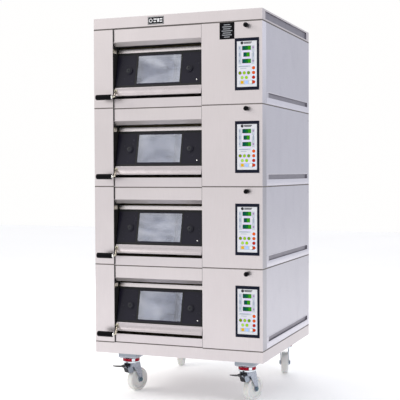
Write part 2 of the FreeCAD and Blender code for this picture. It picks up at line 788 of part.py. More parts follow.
def make_lower_fascia(deck):
    """Recessed panel under the door, with a flange that runs back at its top."""
    fascia = new_body("lower")
    steel = "sheet_steel"
    outline = polygon(new_sketch(fascia, "YZ_Plane"), [
        ("recess", "front_seam / 2"),
        ("recess + " + steel, "front_seam / 2"),
        ("recess + " + steel, "lower_top - " + steel),
        ("recess + lower_flange", "lower_top - " + steel),
        ("recess + lower_flange", "lower_top"),
        ("recess", "lower_top"),
    ])
    pad(fascia, outline, "opening_right - opening_left")
    return put(fascia, (across("opening_left"), FRONT, up(deck, "0")))


PANEL_LENGTH = "body_depth - corner_wrap"


def make_side_panel(deck, side):
    """Side sheet with a long recessed slot and a screw hole; the left one is turned half round."""
    panel = new_body("side")
    rectangle_size = (PANEL_LENGTH, "deck_height - side_seam")
    face = rectangle(new_sketch(panel, "YZ_Plane"), ("0", "0"), rectangle_size)
    pad(panel, face, "sheet_steel", flip=True)
    low = "slot_bottom - side_seam / 2"
    high = "slot_bottom + slot_height - side_seam / 2"
    trough = rectangle(
        new_sketch(panel, "YZ_Plane"),
        ("slot_margin - sheet_steel", low + " - sheet_steel"),
        ("%s - slot_margin + sheet_steel" % PANEL_LENGTH, high + " + sheet_steel"),
    )
    pad(panel, trough, "slot_depth + sheet_steel", flip=True)
    slot = rectangle(
        new_sketch(panel, "YZ_Plane"),
        ("slot_margin", low),
        (PANEL_LENGTH + " - slot_margin", high),
    )
    pocket(panel, slot, "slot_depth")
    hole_back = PANEL_LENGTH + " - screw_edge" if side > 0 else "screw_edge"
    hole = circle(
        new_sketch(panel, "YZ_Plane"),
        (hole_back, "screw_up - side_seam / 2"),
        "screw_radius",
    )
    pocket(panel, hole, "sheet_steel + 1")
    height = up(deck, "side_seam / 2")
    if side > 0:
        return put(panel, ("body_width / 2", back("corner_wrap"), height))
    return put(panel, ("-body_width / 2", back("body_depth"), height), Rotation(Vector(0, 0, 1), 180))


REAR_SCREWS = [
    (side, height)
    for side in ("rear_screw_side", "body_width - rear_screw_side")
    for height in ("rear_screw_low", "rear_screw_high")
]


def make_rear_panel(deck):
    """Rear sheet with holes for the vent spigot, the cable gland and four screws."""
    panel = new_body("rear")
    face = rectangle(
        new_sketch(panel, "XZ_Plane"),
        ("sheet_steel", "side_seam / 2"),
        ("body_width - sheet_steel", "deck_height - side_seam / 2"),
    )
    pad(panel, face, "sheet_steel")
    holes = new_sketch(panel, "XZ_Plane")
    circle(holes, ("damper_across", "damper_up"), "spigot_neck + loose")
    circle(holes, ("gland_across", "gland_up"), "gland_neck")
    for place in REAR_SCREWS:
        circle(holes, place, "screw_radius")
    pocket(panel, holes, "sheet_steel + 1", flip=True)
    return put(panel, (across("0"), back("body_depth"), up(deck, "0")))


def make_deck_tray(deck):
    """Floor sheet of the deck behind the jambs and the wall of its control compartment."""
    floor_up = up(deck, "front_seam / 2")
    floor_size = ("body_width - 2 * tray_edge", "body_depth - tray_front - tray_edge", "tray_steel")
    wall_size = (
        "sheet_steel",
        "body_depth - jamb_depth - 2 * partition_ends",
        "partition_top - front_seam / 2 - tray_steel",
    )
    wall_at = (across("partition_across"), back("jamb_depth + partition_ends"), both(floor_up, "tray_steel"))
    return compound("tray_set", [
        box("tray", floor_size, (across("tray_edge"), back("tray_front"), floor_up)),
        box("partition", wall_size, wall_at),
    ])


# ---------------------------------------------------------------- deck inside

# Back of the mouth frame in the door's frame, and the same plane in the deck's frame.
SEAT = "(door_thickness - hinge_inset + seat_gap)"


def seat_back(height):
    """Distance back of the mouth frame's rear face at a height in the deck."""
    slant = "(%s - hinge_up) * tan(door_tilt)" % height
    return "(hinge_back + (%s + liner_steel) / cos(door_tilt) + %s)" % (SEAT, slant)


def make_mouth(deck):
    """Four strips on the slant of the door: the frame that the door closes on."""
    steel = "liner_steel"
    left = across("opening_left")
    top_size = ("opening_right - opening_left", steel, "mouth_top + mouth_head")
    foot_size = ("opening_right - opening_left", steel, "mouth_foot - mouth_bottom")
    side_height = "mouth_bottom - mouth_top"
    strips = [
        box("mouth_head", top_size, (left, SEAT, "-mouth_top")),
        box("mouth_foot", foot_size, (left, SEAT, "-mouth_foot")),
        box("mouth_left", ("liner_left - opening_left", steel, side_height), (left, SEAT, "-mouth_bottom")),
        box("mouth_right", ("opening_right - liner_right", steel, side_height),
            (across("liner_right"), SEAT, "-mouth_bottom")),
    ]
    return put_on_door(compound("mouth", strips), deck)


def make_chamber_liner(deck):
    """Chamber walls, the mouth frame and the two ledges under the stone."""
    steel = "liner_steel"
    width = "liner_right - liner_left"
    whole = "%s + 2 * %s" % (width, steel)
    left = "liner_left - " + steel
    floor_front = "(%s + fit)" % seat_back("liner_floor")
    top_front = "(%s + fit)" % seat_back("(liner_top + liner_steel)")
    rear = "liner_back + " + steel
    pieces = [
        box("liner_floor_sheet", (whole, "%s - %s" % (rear, floor_front), steel),
            (across(left), back(floor_front), up(deck, "liner_floor - " + steel))),
        box("liner_top_sheet", (whole, "%s - %s" % (rear, top_front), steel),
            (across(left), back(top_front), up(deck, "liner_top"))),
        box("liner_rear_sheet", (width, steel, "liner_top - liner_floor"),
            (across("liner_left"), back("liner_back"), up(deck, "liner_floor"))),
    ]
    for place in (left, "liner_right"):
        wall = new_body("liner_wall")
        outline = polygon(new_sketch(wall, "YZ_Plane"), [
            (floor_front, "liner_floor"),
            (rear, "liner_floor"),
            (rear, "liner_top"),
            ("%s + fit" % seat_back("liner_top"), "liner_top"),
        ])
        pad(wall, outline, steel)
        pieces.append(put(wall, (across(place), FRONT, up(deck, "0"))))
    ledge_size = ("ledge", "liner_back - stone_front", "ledge_height")
    for place in ("liner_left", "liner_right - ledge"):
        at = (across(place), back("stone_front"), up(deck, "stone_bottom - ledge_height"))
        pieces.append(box("stone_ledge", ledge_size, at))
    pieces.append(make_mouth(deck))
    return compound("liner", pieces)


def make_insulation(deck):
    """Mineral-wool slabs under, over, beside and behind the chamber."""
    steel = "liner_steel"
    left = "lining_edge"
    right = "partition_across - lining_gap"
    rear = "liner_back + " + steel
    clear = steel + " + lining_gap"
    side_low = "liner_floor - " + steel
    side_high = "liner_top + " + steel
    slabs = [
        (left, right, "lining_front", rear, "lining_bottom", "liner_floor - (%s)" % clear),
        (left, right, "lining_front", rear, "liner_top + " + clear, "lining_top"),
        (left, "liner_left - (%s)" % clear, "lining_front", rear, side_low, side_high),
        ("liner_right + " + clear, right, "lining_front", rear, side_low, side_high),
        (left, "duct_left - 4 * lining_gap", rear + " + lining_gap", "lining_rear",
         "lining_bottom", "lining_top"),
    ]
    pieces = []
    for x_low, x_high, y_low, y_high, z_low, z_high in slabs:
        size = tuple("(%s) - (%s)" % pair for pair in ((x_high, x_low), (y_high, y_low), (z_high, z_low)))
        pieces.append(box("slab", size, (across(x_low), back(y_low), up(deck, z_low))))
    return compound("slabs", pieces)


def make_hearth_stone(deck):
    size = (
        "liner_right - liner_left - 2 * stone_play",
        "liner_back - stone_front - stone_play",
        "stone_thickness",
    )
    at = (across("liner_left + stone_play"), back("stone_front"), up(deck, "stone_bottom"))
    return box("stone", size, at)


def make_heating_elements(deck):
    """Five rods over and five under, carried by the side walls."""
    rods = []
    for height in ("lower_element_up", "upper_element_up"):
        for index in range(5):
            place = "element_first + %d * element_pitch" % index
            at = (across("liner_left"), back(place), up(deck, height))
            rods.append(rod("element", "element_radius", "liner_right - liner_left", at, "x"))
    return compound("elements", rods)


def make_chamber_lamp(deck):
    """Round lens on the right wall, near the back of the chamber."""
    at = (across("liner_right - lamp_depth"), back("lamp_back"), up(deck, "lamp_up"))
    return rod("lamp", "lamp_radius", "lamp_depth", at, "x")


def make_hinge_pins(deck):
    """Two headed pins, each through a jamb and into the end of the door's rail."""
    pins = []
    run = "sheet_steel + door_side_gap + pin_depth"
    y = back("hinge_back")
    z = up(deck, "hinge_up")
    for start, head in (
        ("opening_left - sheet_steel", "opening_left - sheet_steel - pin_head"),
        ("opening_right - door_side_gap - pin_depth", "opening_right + sheet_steel"),
    ):
        shank = rod("pin_shank", "pin_radius", run, (across(start), y, z), "x")
        cap = rod("pin_cap", "pin_radius + pin_head", "pin_head", (across(head), y, z), "x")
        pins.append(fuse("hinge_pin", [shank, cap]))
    return compound("pins", pins)


def make_exhaust_duct(deck):
    """Riser behind the chamber, cross duct and vent spigot, hollow, in sheet steel."""
    steel = "sheet_steel"
    depth = "body_depth - duct_front - duct_gap"
    cross = ("duct_right - duct_left", depth, "duct_height")
    riser = ("riser_width", depth, "duct_bottom - riser_bottom + 3 * sheet_steel")
    low = up(deck, "duct_bottom")
    foot = up(deck, "riser_bottom")
    outer = fuse("duct_outer", [
        box("cross_outer", cross, (across("duct_left"), back("duct_front"), low)),
        box("riser_outer", riser, (across("duct_left"), back("duct_front"), foot)),
    ])

    def hollow(size):
        return tuple("%s - 2 * %s" % (side, steel) for side in size)

    hollow_y = back("duct_front + " + steel)
    tools = [
        box("cross_inner", hollow(cross), (across("duct_left + " + steel), hollow_y, both(low, steel))),
        box("riser_inner", (hollow(riser)[0], hollow(riser)[1], riser[2]),
            (across("duct_left + " + steel), hollow_y, both(foot, steel))),
        rod("outlet", "spigot_bore", "2 * duct_gap",
            (across("damper_across"), back("body_depth - 2 * duct_gap"), up(deck, "damper_up")), "y"),
        rod("rod_guide", "damper_rod_radius + loose", "4 * sheet_steel",
            (across("damper_across"), back("duct_front - 2 * sheet_steel"), up(deck, "damper_up")), "y"),
    ]
    return compound("vent", [cut("duct", outer, tools), make_spigot(deck)])


def make_spigot(deck):
    """Tube through the rear panel, with a flange on it and a collar for a hose."""
    spigot = new_body("spigot")
    section = polygon(new_sketch(spigot, "YZ_Plane"), [
        ("fit - duct_gap", "spigot_bore"),
        ("spigot_reach", "spigot_bore"),
        ("spigot_reach", "spigot_radius"),
        ("spigot_seat", "spigot_radius"),
        ("spigot_seat", "spigot_neck"),
        ("spigot_seat - 1", "spigot_neck"),
        ("spigot_seat - 1", "spigot_flange"),
        ("fit", "spigot_flange"),
        ("fit", "spigot_neck"),
        ("fit - duct_gap", "spigot_neck"),
    ])
    revolve(spigot, section, "H_Axis")
    return put(spigot, (across("damper_across"), back("body_depth"), up(deck, "damper_up")))


# ---------------------------------------------------------------- control panel

FACE = "-bezel_proud"


def on_panel(right, down):
    """Across and up of a place measured from the bezel's upper left corner."""
    return "(bezel_left + %s)" % right, "(bezel_bottom + bezel_height - (%s))" % down


def make_bezel(deck):
    """Frame round the keypad."""
    bezel = new_body("bezel")
    frame = new_sketch(bezel, "XZ_Plane")
    rectangle(frame, ("0", "0"), ("bezel_width", "bezel_height"))
    rectangle(
        frame,
        ("bezel_border", "bezel_end_border"),
        ("bezel_width - bezel_border", "bezel_height - bezel_end_border"),
    )
    pad(bezel, frame, "bezel_proud")
    return put(bezel, (across("bezel_left"), FRONT, up(deck, "bezel_bottom")))


def display_places():
    """Left, bottom and width of each display in the deck's frame."""
    for row, width in enumerate(("display_width", "display_narrow", "display_width")):
        right, height = on_panel("display_across", "display_down + %d * display_pitch" % row)
        yield "(%s - %s / 2)" % (right, width), "(%s - display_height / 2)" % height, width


def make_overlay(deck):
    """White keypad sheet inside the bezel, cut out for the displays."""
    overlay = new_body("overlay")
    edge = "(bezel_border + loose)"
    end = "(bezel_end_border + loose)"
    sheet_outline = new_sketch(overlay, "XZ_Plane")
    rectangle(sheet_outline, (edge, end), ("bezel_width - " + edge, "bezel_height - " + end))
    for left, low, width in display_places():
        rectangle(
            sheet_outline,
            ("%s - bezel_left - fit" % left, "%s - bezel_bottom - fit" % low),
            ("%s + %s - bezel_left + fit" % (left, width), "%s + display_height - bezel_bottom + fit" % low),
        )
    pad(overlay, sheet_outline, "overlay_thickness")
    return put(overlay, (across("bezel_left"), FRONT, up(deck, "bezel_bottom")))


def make_displays(deck):
    """Three display blocks behind the overlay's cut-outs."""
    pieces = []
    for left, low, width in display_places():
        at = (across(left), back("-overlay_thickness"), up(deck, low))
        pieces.append(box("display", (width, "display_depth", "display_height"), at))
    return compound("displays", pieces)


def make_keys(deck):
    """Twelve domes: a column of four, a row of three, a row of two and a row of three."""
    places = [("key_column", row, True) for row in range(4)]
    places += [("key_first + %d * key_pitch" % column, 1, True) for column in range(3)]
    places += [("key_first + %.1f * key_pitch" % (column + 0.5), 2, True) for column in range(2)]
    places += [("key_first + %.1f * key_pitch" % (column + 0.5), 3, False) for column in range(3)]
    face = back("-overlay_thickness - key_proud")
    pieces = []
    for right, row, is_round in places:
        x, z = on_panel(right, "key_down + %d * key_row_pitch" % row)
        if is_round:
            pieces.append(rod("key", "key_radius", "key_proud", (across(x), face, up(deck, z)), "y"))
            continue
        corner = (across("%s - key_half" % x), face, up(deck, "%s - key_half" % z))
        pieces.append(box("square_key", ("2 * key_half", "key_proud", "2 * key_half"), corner))
    return compound("keys", pieces)


def make_control_board(deck):
    size = ("bezel_width - 2 * board_margin", "board_thickness", "bezel_height - 2 * board_margin")
    at = (across("bezel_left + board_margin"), back("board_back"), up(deck, "bezel_bottom + board_margin"))
    return box("board", size, at)


def make_marking_plates():
    """Blank badge on the cap and blank rating plate on the top deck."""
    badge_at = (
        across("badge_across"),
        back("-plate_proud"),
        both(CAP_BOTTOM, "(cap_height + cap_gap - badge_height) / 2"),
    )
    rating_at = (across("rating_across"), back("-plate_proud"), up(DECKS[-1], "rating_up"))
    node(compound("marking_plates", [
        box("badge", ("badge_width", "plate_proud", "badge_height"), badge_at),
        box("rating", ("rating_width", "plate_proud", "rating_height"), rating_at),
    ]), "marking_plates")


# ---------------------------------------------------------------- door and damper

DOOR_LEFT = across("opening_left + door_side_gap")
DOOR_WIDTH = "(opening_right - opening_left - 2 * door_side_gap)"


def window_opening(body, margin):
    """Cut the window through a door piece, larger than the glass by a margin."""
    left = across("window_left - " + margin)
    right = across("window_left + window_width + " + margin)
    opening = rectangle(
        new_sketch(body, "XZ_Plane"),
        ("%s - (%s)" % (left, DOOR_LEFT), "-window_top - window_height - " + margin),
        ("%s - (%s)" % (right, DOOR_LEFT), "-window_top + " + margin),
    )
    pocket(body, opening, "4 * door_thickness", middle=True)


def rear_outline(body, depth, inset):
    """Ring between the door's rim and its window surround, on the door's rear side."""
    sketch = new_sketch(body, "XZ_Plane", "-(%s)" % depth)
    low = "-door_under_hinge + " + inset
    rectangle(sketch, (inset, low), (DOOR_WIDTH + " - " + inset, "-pin_radius - 2 * door_wall - " + inset))
    surround = "window_surround - " + inset
    left = "%s - (%s)" % (across("window_left"), DOOR_LEFT)
    return rectangle(
        sketch,
        ("%s - (%s)" % (left, surround), "-window_top - window_height - (%s)" % surround),
        ("%s + window_width + %s" % (left, surround), "-window_top + " + surround),
    )


def make_door_frame(deck):
    """Hollow pan with a rail on top, a sill below, a recess for the panel, and its rear cover."""
    frame = new_body("door")
    face = "-hinge_inset"
    rear = "door_thickness - hinge_inset"
    recess_low = "-door_under_hinge + sill_height"
    recess_high = "door_over_hinge - rail_height"
    section = polygon(new_sketch(frame, "YZ_Plane"), [
        (face, "-door_under_hinge"),
        (face, recess_low),
        (face + " + panel_recess", recess_low),
        (face + " + panel_recess", recess_high),
        (face, recess_high),
        (face, "door_over_hinge"),
        (rear + " - door_corner", "door_over_hinge"),
        (rear, "door_over_hinge - door_corner"),
        (rear, "-door_under_hinge"),
    ])
    pad(frame, section, DOOR_WIDTH)
    window_opening(frame, "pane_play")
    cavity = rear_outline(frame, rear, "door_wall")
    pocket(frame, cavity, "door_thickness - panel_recess - door_face", flip=True)
    bore = circle(new_sketch(frame, "YZ_Plane"), ("0", "0"), "pin_radius + pin_play")
    pocket(frame, bore, DOOR_WIDTH, flip=True)
    cover = new_body("door_cover")
    pad(cover, rear_outline(cover, rear, "door_wall + fit"), "liner_steel")
    for piece in (frame, cover):
        bind(piece, "Placement.Base.x", DOOR_LEFT)
    node(put_on_door(compound("door_frame", [frame, cover]), deck), "door_frame_%d" % (deck + 1))


def make_door_panel(deck):
    """Black glass panel with the window cut-out, and two clamp discs with screws."""
    panel = new_body("panel")
    seat = "-hinge_inset + panel_recess"
    face = "-hinge_inset + panel_inset"
    step = face + " + panel_step"
    low = "-door_under_hinge + sill_height + panel_inset"
    high = "door_over_hinge - rail_height - panel_inset"
    section = polygon(new_sketch(panel, "YZ_Plane"), [
        (seat, low),
        (step, low),
        (step, low + " + panel_band"),
        (face, low + " + panel_band"),
        (face, high + " - panel_top_band"),
        (step, high + " - panel_top_band"),
        (step, high),
        (seat, high),
    ])
    pad(panel, section, DOOR_WIDTH)
    window_opening(panel, "loose")
    bind(panel, "Placement.Base.x", DOOR_LEFT)
    pieces = [panel]
    for place in ("disc_left", "disc_right"):
        disc_at = (across(place), face + " - disc_proud", "-disc_drop")
        pieces.append(rod("disc", "disc_radius", "disc_proud", disc_at, "y"))
        screw_at = (across(place), face + " - disc_proud - disc_screw_proud", "-disc_drop")
        pieces.append(rod("disc_screw", "disc_screw_radius", "disc_screw_proud", screw_at, "y"))
    node(put_on_door(compound("door_panel", pieces), deck), "door_panel_%d" % (deck + 1))


def make_window_panes(deck):
    """Front pane level with the panel and rear pane at the back of the door."""
    size = ("window_width", "pane_thickness", "window_height")
    left = across("window_left")
    low = "-window_top - window_height"
    panes = [
        box("front_pane", size, (left, "-hinge_inset + pane_inset", low)),
        box("rear_pane", size, (left, "door_thickness - hinge_inset - pane_thickness - door_wall", low)),
    ]
    node(put_on_door(compound("window_panes", panes), deck), "window_panes_%d" % (deck + 1))


def bent_bar(points, radius, bend):
    """Round bar along points, with a tangent arc at each inner one."""
    edges = []
    start = points[0]
    for before, corner, after in zip(points, points[1:], points[2:]):
        inward = (before - corner).normalize()
        onward = (after - corner).normalize()
        half = inward.getAngle(onward) / 2
        setback = bend / math.tan(half)
        middle_way = (inward + onward).normalize() * (bend / math.sin(half) - bend)
        leave = corner + inward * setback
        join = corner + onward * setback
        edges.append(Part.LineSegment(start, leave).toShape())
        edges.append(Part.Arc(leave, corner + middle_way, join).toShape())
        start = join
    edges.append(Part.LineSegment(start, points[-1]).toShape())
    section = Part.Wire([Part.makeCircle(radius, points[0], points[1] - points[0])])
    return Part.Wire(edges).makePipeShell([section], True, True)


def make_handle_arm(deck):
    """Bar from the core of the grip to a foot on the sill, in the door's frame."""
    face = number("-hinge_inset")
    grip_y = number("-hinge_inset - grip_forward")
    grip_z = number("-grip_drop")
    grip_end = number(across("grip_left + grip_length"))
    root = Vector(number(across("arm_root")), face, number("-arm_drop"))
    corner = Vector(grip_end + number("ferrule_length + arm_bend"), grip_y, grip_z)
    points = [Vector(number(across("grip_left + grip_end")), grip_y, grip_z), corner, root]
    shape = bent_bar(points, number("arm_radius"), number("arm_bend"))
    height = number("foot_height")
    foot_at = Vector(root.x, face - height, root.z)
    foot = Part.makeCylinder(number("foot_radius"), height, foot_at, Vector(0, 1, 0))
    ring_at = Vector(grip_end + number("pin_play"), grip_y, grip_z)
    ferrule = Part.makeCylinder(number("ferrule_radius"), number("ferrule_length"), ring_at, Vector(1, 0, 0))
    wide = number("8 * arm_radius")
    beyond = Part.makeBox(wide, wide, wide, Vector(root.x - wide / 2, face, root.z - wide / 2))
    arm = doc.addObject("Part::Feature", "arm")
    arm.Shape = shape.fuse([foot, ferrule]).cut(beyond).removeSplitter()
    node(put_on_door(arm, deck), "handle_arm_%d" % (deck + 1))


def make_handle_grip(deck):
    """Turned grip with rounded ends and a blind bore for the arm."""
    grip = new_body("grip")
    length = "grip_length"
    nip = "grip_round * 0.375"
    outline = polygon(new_sketch(grip, "XZ_Plane"), [
        ("0", "0"),
        ("0", "grip_radius - grip_round"),
        (nip, "grip_radius - " + nip),
        ("grip_round", "grip_radius"),
        (length + " - grip_round", "grip_radius"),
        ("%s - %s" % (length, nip), "grip_radius - " + nip),
        (length, "grip_radius - grip_round"),
        (length, "arm_radius + pin_play"),
        ("grip_end - pin_play", "arm_radius + pin_play"),
        ("grip_end - pin_play", "0"),
    ])
    revolve(grip, outline, "H_Axis")
    for axis, text in zip("xyz", (across("grip_left"), "-hinge_inset - grip_forward", "-grip_drop")):
        bind(grip, "Placement.Base." + axis, text)
    node(put_on_door(compound("handle_grip", [grip]), deck), "handle_grip_%d" % (deck + 1))


def make_damper_pull(deck):
    """Ball knob on a rod that ends in a disc against the vent spigot."""
    pull = new_body("pull")
    reach = "body_depth - duct_gap - sheet_steel - loose"
    disc_front = "%s - damper_disc_thickness" % reach
    radius = "damper_rod_radius"
    section = polygon(new_sketch(pull, "YZ_Plane"), [
        ("-damper_collar_front", "0"),
        ("-damper_collar_front", "damper_collar"),
        ("-damper_collar_rear", "damper_collar"),
        ("-damper_collar_rear", radius),
        (disc_front, radius),
        (disc_front, "damper_disc_radius"),
        (reach, "damper_disc_radius"),
        (reach, "0"),
    ])
    revolve(pull, section, "H_Axis")
    ball = doc.addObject("Part::Sphere", "ball")
    bind(ball, "Radius", "knob_radius")
    put(ball, ("0", "-knob_forward", "0"))
    whole = fuse("damper", [pull, ball])
    put(whole, (across("damper_across"), FRONT, up(deck, "damper_up")))
    node(whole, "damper_pull_%d" % (deck + 1))


# ---------------------------------------------------------------- glands and fasteners

def make_cable_gland(deck):
    """Gland with a bore for a supply cable, through the rear panel."""
    gland = new_body("gland")
    reach = "gland_reach"
    section = polygon(new_sketch(gland, "YZ_Plane"), [
        ("-gland_inside", "gland_bore"),
        (reach, "gland_bore"),
        (reach, "gland_neck"),
        (reach + " - gland_bevel", "gland_radius"),
        ("0", "gland_radius"),
        ("0", "gland_neck"),
        ("-gland_inside", "gland_neck"),
    ])
    revolve(gland, section, "H_Axis")
    return put(gland, (across("gland_across"), back("body_depth"), up(deck, "gland_up")))


def make_screw_master(name, shank, length, head, head_height):
    """A screw along +Z with its head's underside at the origin."""
    screw = new_body(name)
    section = polygon(new_sketch(screw, "XZ_Plane"), [
        ("0", "-" + head_height),
        (head + " * 0.7", "-" + head_height),
        (head, "-%s * 0.4" % head_height),
        (head, "0"),
        (shank, "0"),
        (shank, length),
        ("0", length),
    ])
    revolve(screw, section)
    return screw


def make_fasteners():
    """Side and rear panel screws and the bolts of the caster plates."""
    shank = "(screw_radius - pin_play)"
    screw = make_screw_master("screw", shank, "screw_length", "screw_head", "screw_head_height")
    bolt_shank = "(bolt_radius - pin_play)"
    bolt = make_screw_master("bolt", bolt_shank, "bolt_length", "bolt_head", "bolt_head_height")
    pieces = []
    for deck in DECKS:
        height = up(deck, "screw_up")
        depth = back("body_depth - screw_edge")
        pieces.append(copy_of(screw, ("body_width / 2", depth, height), Rotation(Vector(0, 1, 0), -90)))
        pieces.append(copy_of(screw, ("-body_width / 2", depth, height), Rotation(Vector(0, 1, 0), 90)))
        for x, z in REAR_SCREWS:
            at = (across(x), back("body_depth"), up(deck, z))
            pieces.append(copy_of(screw, at, Rotation(Vector(1, 0, 0), 90)))
    for spot in CASTER_SPOTS:
        for x, y in bolt_places(spot):
            pieces.append(copy_of(bolt, (x, y, "plate_top - plate_thickness"), Rotation()))
    node(compound("fasteners", pieces), "fasteners")


# ---------------------------------------------------------------- assembly

make_top_cap()
make_base_frame()
make_casters()
make_marking_plates()
on_each_deck("front_posts", make_front_post)
on_each_deck("control_fascias", make_control_fascia)
on_each_deck("header_panels", make_header)
on_each_deck("lower_fascias", make_lower_fascia)
panels = [make_side_panel(deck, side) for deck in DECKS for side in (-1, 1)]
node(compound("side_panels", panels), "side_panels")
on_each_deck("rear_panels", make_rear_panel)
on_each_deck("deck_trays", make_deck_tray)
on_each_deck("chamber_liners", make_chamber_liner)
on_each_deck("insulation", make_insulation)
on_each_deck("hearth_stones", make_hearth_stone)
on_each_deck("heating_elements", make_heating_elements)
on_each_deck("chamber_lamps", make_chamber_lamp)
on_each_deck("door_hinge_pins", make_hinge_pins)
on_each_deck("exhaust_ducts", make_exhaust_duct)
on_each_deck("control_bezels", make_bezel)
on_each_deck("keypad_overlays", make_overlay)
on_each_deck("display_modules", make_displays)
on_each_deck("keypad_keys", make_keys)
on_each_deck("control_boards", make_control_board)
on_each_deck("cable_glands", make_cable_gland)
make_fasteners()
for deck_index in DECKS:
    make_door_frame(deck_index)
    make_door_panel(deck_index)
    make_window_panes(deck_index)
    make_handle_arm(deck_index)
    make_handle_grip(deck_index)
    make_damper_pull(deck_index)

doc.recompute()

for item in doc.Objects:
    if "Invalid" in item.State or "Error" in item.State:
        raise RuntimeError("%s failed: %s" % (item.Label, item.State))
for item in nodes:
    if item.Shape.isNull() or not item.Shape.isValid() or not item.Shape.Solids:
        raise RuntimeError("%s has no valid solid" % item.Label)

os.makedirs("parts", exist_ok=True)
for item in nodes:
    item.Shape.exportStep("parts/%s.step" % item.Label)
    print(item.Label, len(item.Shape.Solids), "solids", round(item.Shape.Volume / 1000), "cm3")
print(len(nodes), "nodes")
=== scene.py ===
import json
import math

import bmesh
import bpy
from mathutils import Matrix, Vector


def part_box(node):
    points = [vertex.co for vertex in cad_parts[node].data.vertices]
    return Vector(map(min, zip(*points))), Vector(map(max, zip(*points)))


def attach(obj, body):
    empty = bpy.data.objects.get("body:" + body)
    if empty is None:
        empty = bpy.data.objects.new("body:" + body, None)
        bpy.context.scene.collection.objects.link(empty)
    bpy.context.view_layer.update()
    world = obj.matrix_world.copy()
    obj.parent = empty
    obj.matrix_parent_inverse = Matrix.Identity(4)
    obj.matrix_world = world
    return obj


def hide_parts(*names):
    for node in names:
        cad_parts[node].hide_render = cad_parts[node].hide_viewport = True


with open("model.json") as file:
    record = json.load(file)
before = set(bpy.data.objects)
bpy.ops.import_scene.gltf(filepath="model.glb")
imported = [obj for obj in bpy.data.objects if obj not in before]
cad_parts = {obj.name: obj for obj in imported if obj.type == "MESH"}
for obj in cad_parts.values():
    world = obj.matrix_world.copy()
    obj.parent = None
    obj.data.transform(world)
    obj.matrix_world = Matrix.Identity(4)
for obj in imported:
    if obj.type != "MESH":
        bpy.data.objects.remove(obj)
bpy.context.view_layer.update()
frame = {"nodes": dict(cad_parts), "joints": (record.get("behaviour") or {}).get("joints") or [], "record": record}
NODES = frame["nodes"]
JOINTS = {joint["name"]: joint for joint in frame["joints"]}

MM = 0.001
DECKS = range(4)
DECK_NUMBERS = range(1, 5)
CASTERS = range(1, 5)
BRAKED_CASTERS = (1, 2)

# Where the oven stands, in metres. The posts are its left and front face and start a gap above the plinth.
POST_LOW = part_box("front_posts")[0]
POST_GAP = 1.5 * MM
LEFT = POST_LOW.x
FRONT = POST_LOW.y
BASE = POST_LOW.z - POST_GAP
DECK_HEIGHT = 0.425
DOOR_TILT = math.radians(13)

# Sizes of one deck, in millimetres from its left, front and lower edges.
BODY_WIDTH = 960.0
BODY_DEPTH = 938.0
CORNER_WRAP = 67.0
OPENING_LEFT, OPENING_RIGHT = 114.0, 628.5
RECESS = 5.0
DAMPER_PLACE = (878.0, 0.0, 401.0)

BLOTCH_SCALE = 14
SMUDGE = 0.05


# ---------------------------------------------------------------- shader helpers

class Finish:
    """A Principled material under construction, with textures in the piece's own coordinates."""

    def __init__(self, name, **sockets):
        self.material = bpy.data.materials.new(name)
        self.material.use_nodes = True
        self.tree = self.material.node_tree
        self.shader = self.tree.nodes["Principled BSDF"]
        self.place = self.tree.nodes.new("ShaderNodeTexCoord").outputs["Object"]
        for socket, value in sockets.items():
            self.shader.inputs[socket.replace("_", " ")].default_value = value

    def add(self, kind, inputs=(), **settings):
        """A node with its settings and its inputs; an input is a value or another node's output."""
        made = self.tree.nodes.new("ShaderNode" + kind)
        for key, value in settings.items():
            setattr(made, key, value)
        for socket, value in dict(inputs).items():
            if isinstance(value, bpy.types.NodeSocket):
                self.tree.links.new(value, made.inputs[socket])
            else:
                made.inputs[socket].default_value = value
        return made

    def stretched(self, stretch):
        return self.add("Mapping", {"Vector": self.place, "Scale": stretch}).outputs["Vector"]

    def noise(self, scale, stretch=(1, 1, 1), detail=3.0, rough=0.55, warp=0.0):
        inputs = {"Vector": self.stretched(stretch), "Scale": scale, "Detail": detail, "Roughness": rough,
                  "Distortion": warp}
        return self.add("TexNoise", inputs).outputs["Fac"]

    def cells(self, scale, output="Color"):
        return self.add("TexVoronoi", {"Vector": self.place, "Scale": scale}).outputs[output]

    def span(self, value, low, high, start=0.3, end=0.7):
        """A value remapped from start..end to low..high."""
        inputs = {"Value": value, "From Min": start, "From Max": end, "To Min": low, "To Max": high}
        return self.add("MapRange", inputs).outputs["Result"]

    def mix(self, factor, first, second, blend="MIX"):
        """A blend of two colours; the sockets are those of the colour mode."""
        made = self.add("Mix", data_type="RGBA", blend_type=blend)
        for socket, value in ((0, factor), (6, first), (7, second)):
            if isinstance(value, bpy.types.NodeSocket):
                self.tree.links.new(value, made.inputs[socket])
            else:
                made.inputs[socket].default_value = (*value, 1)[:4] if hasattr(value, "__len__") else value
        return made.outputs[2]

    def set(self, socket, value):
        if isinstance(value, bpy.types.NodeSocket):
            self.tree.links.new(value, self.shader.inputs[socket])
        else:
            self.shader.inputs[socket].default_value = value

    def bump(self, height, distance, strength=1.0):
        inputs = {"Height": height, "Distance": distance, "Strength": strength}
        if self.shader.inputs["Normal"].links:
            inputs["Normal"] = self.shader.inputs["Normal"].links[0].from_socket
        self.set("Normal", self.add("Bump", inputs).outputs["Normal"])


def shade(colour, factor):
    return tuple(min(1.0, part * factor) for part in colour)


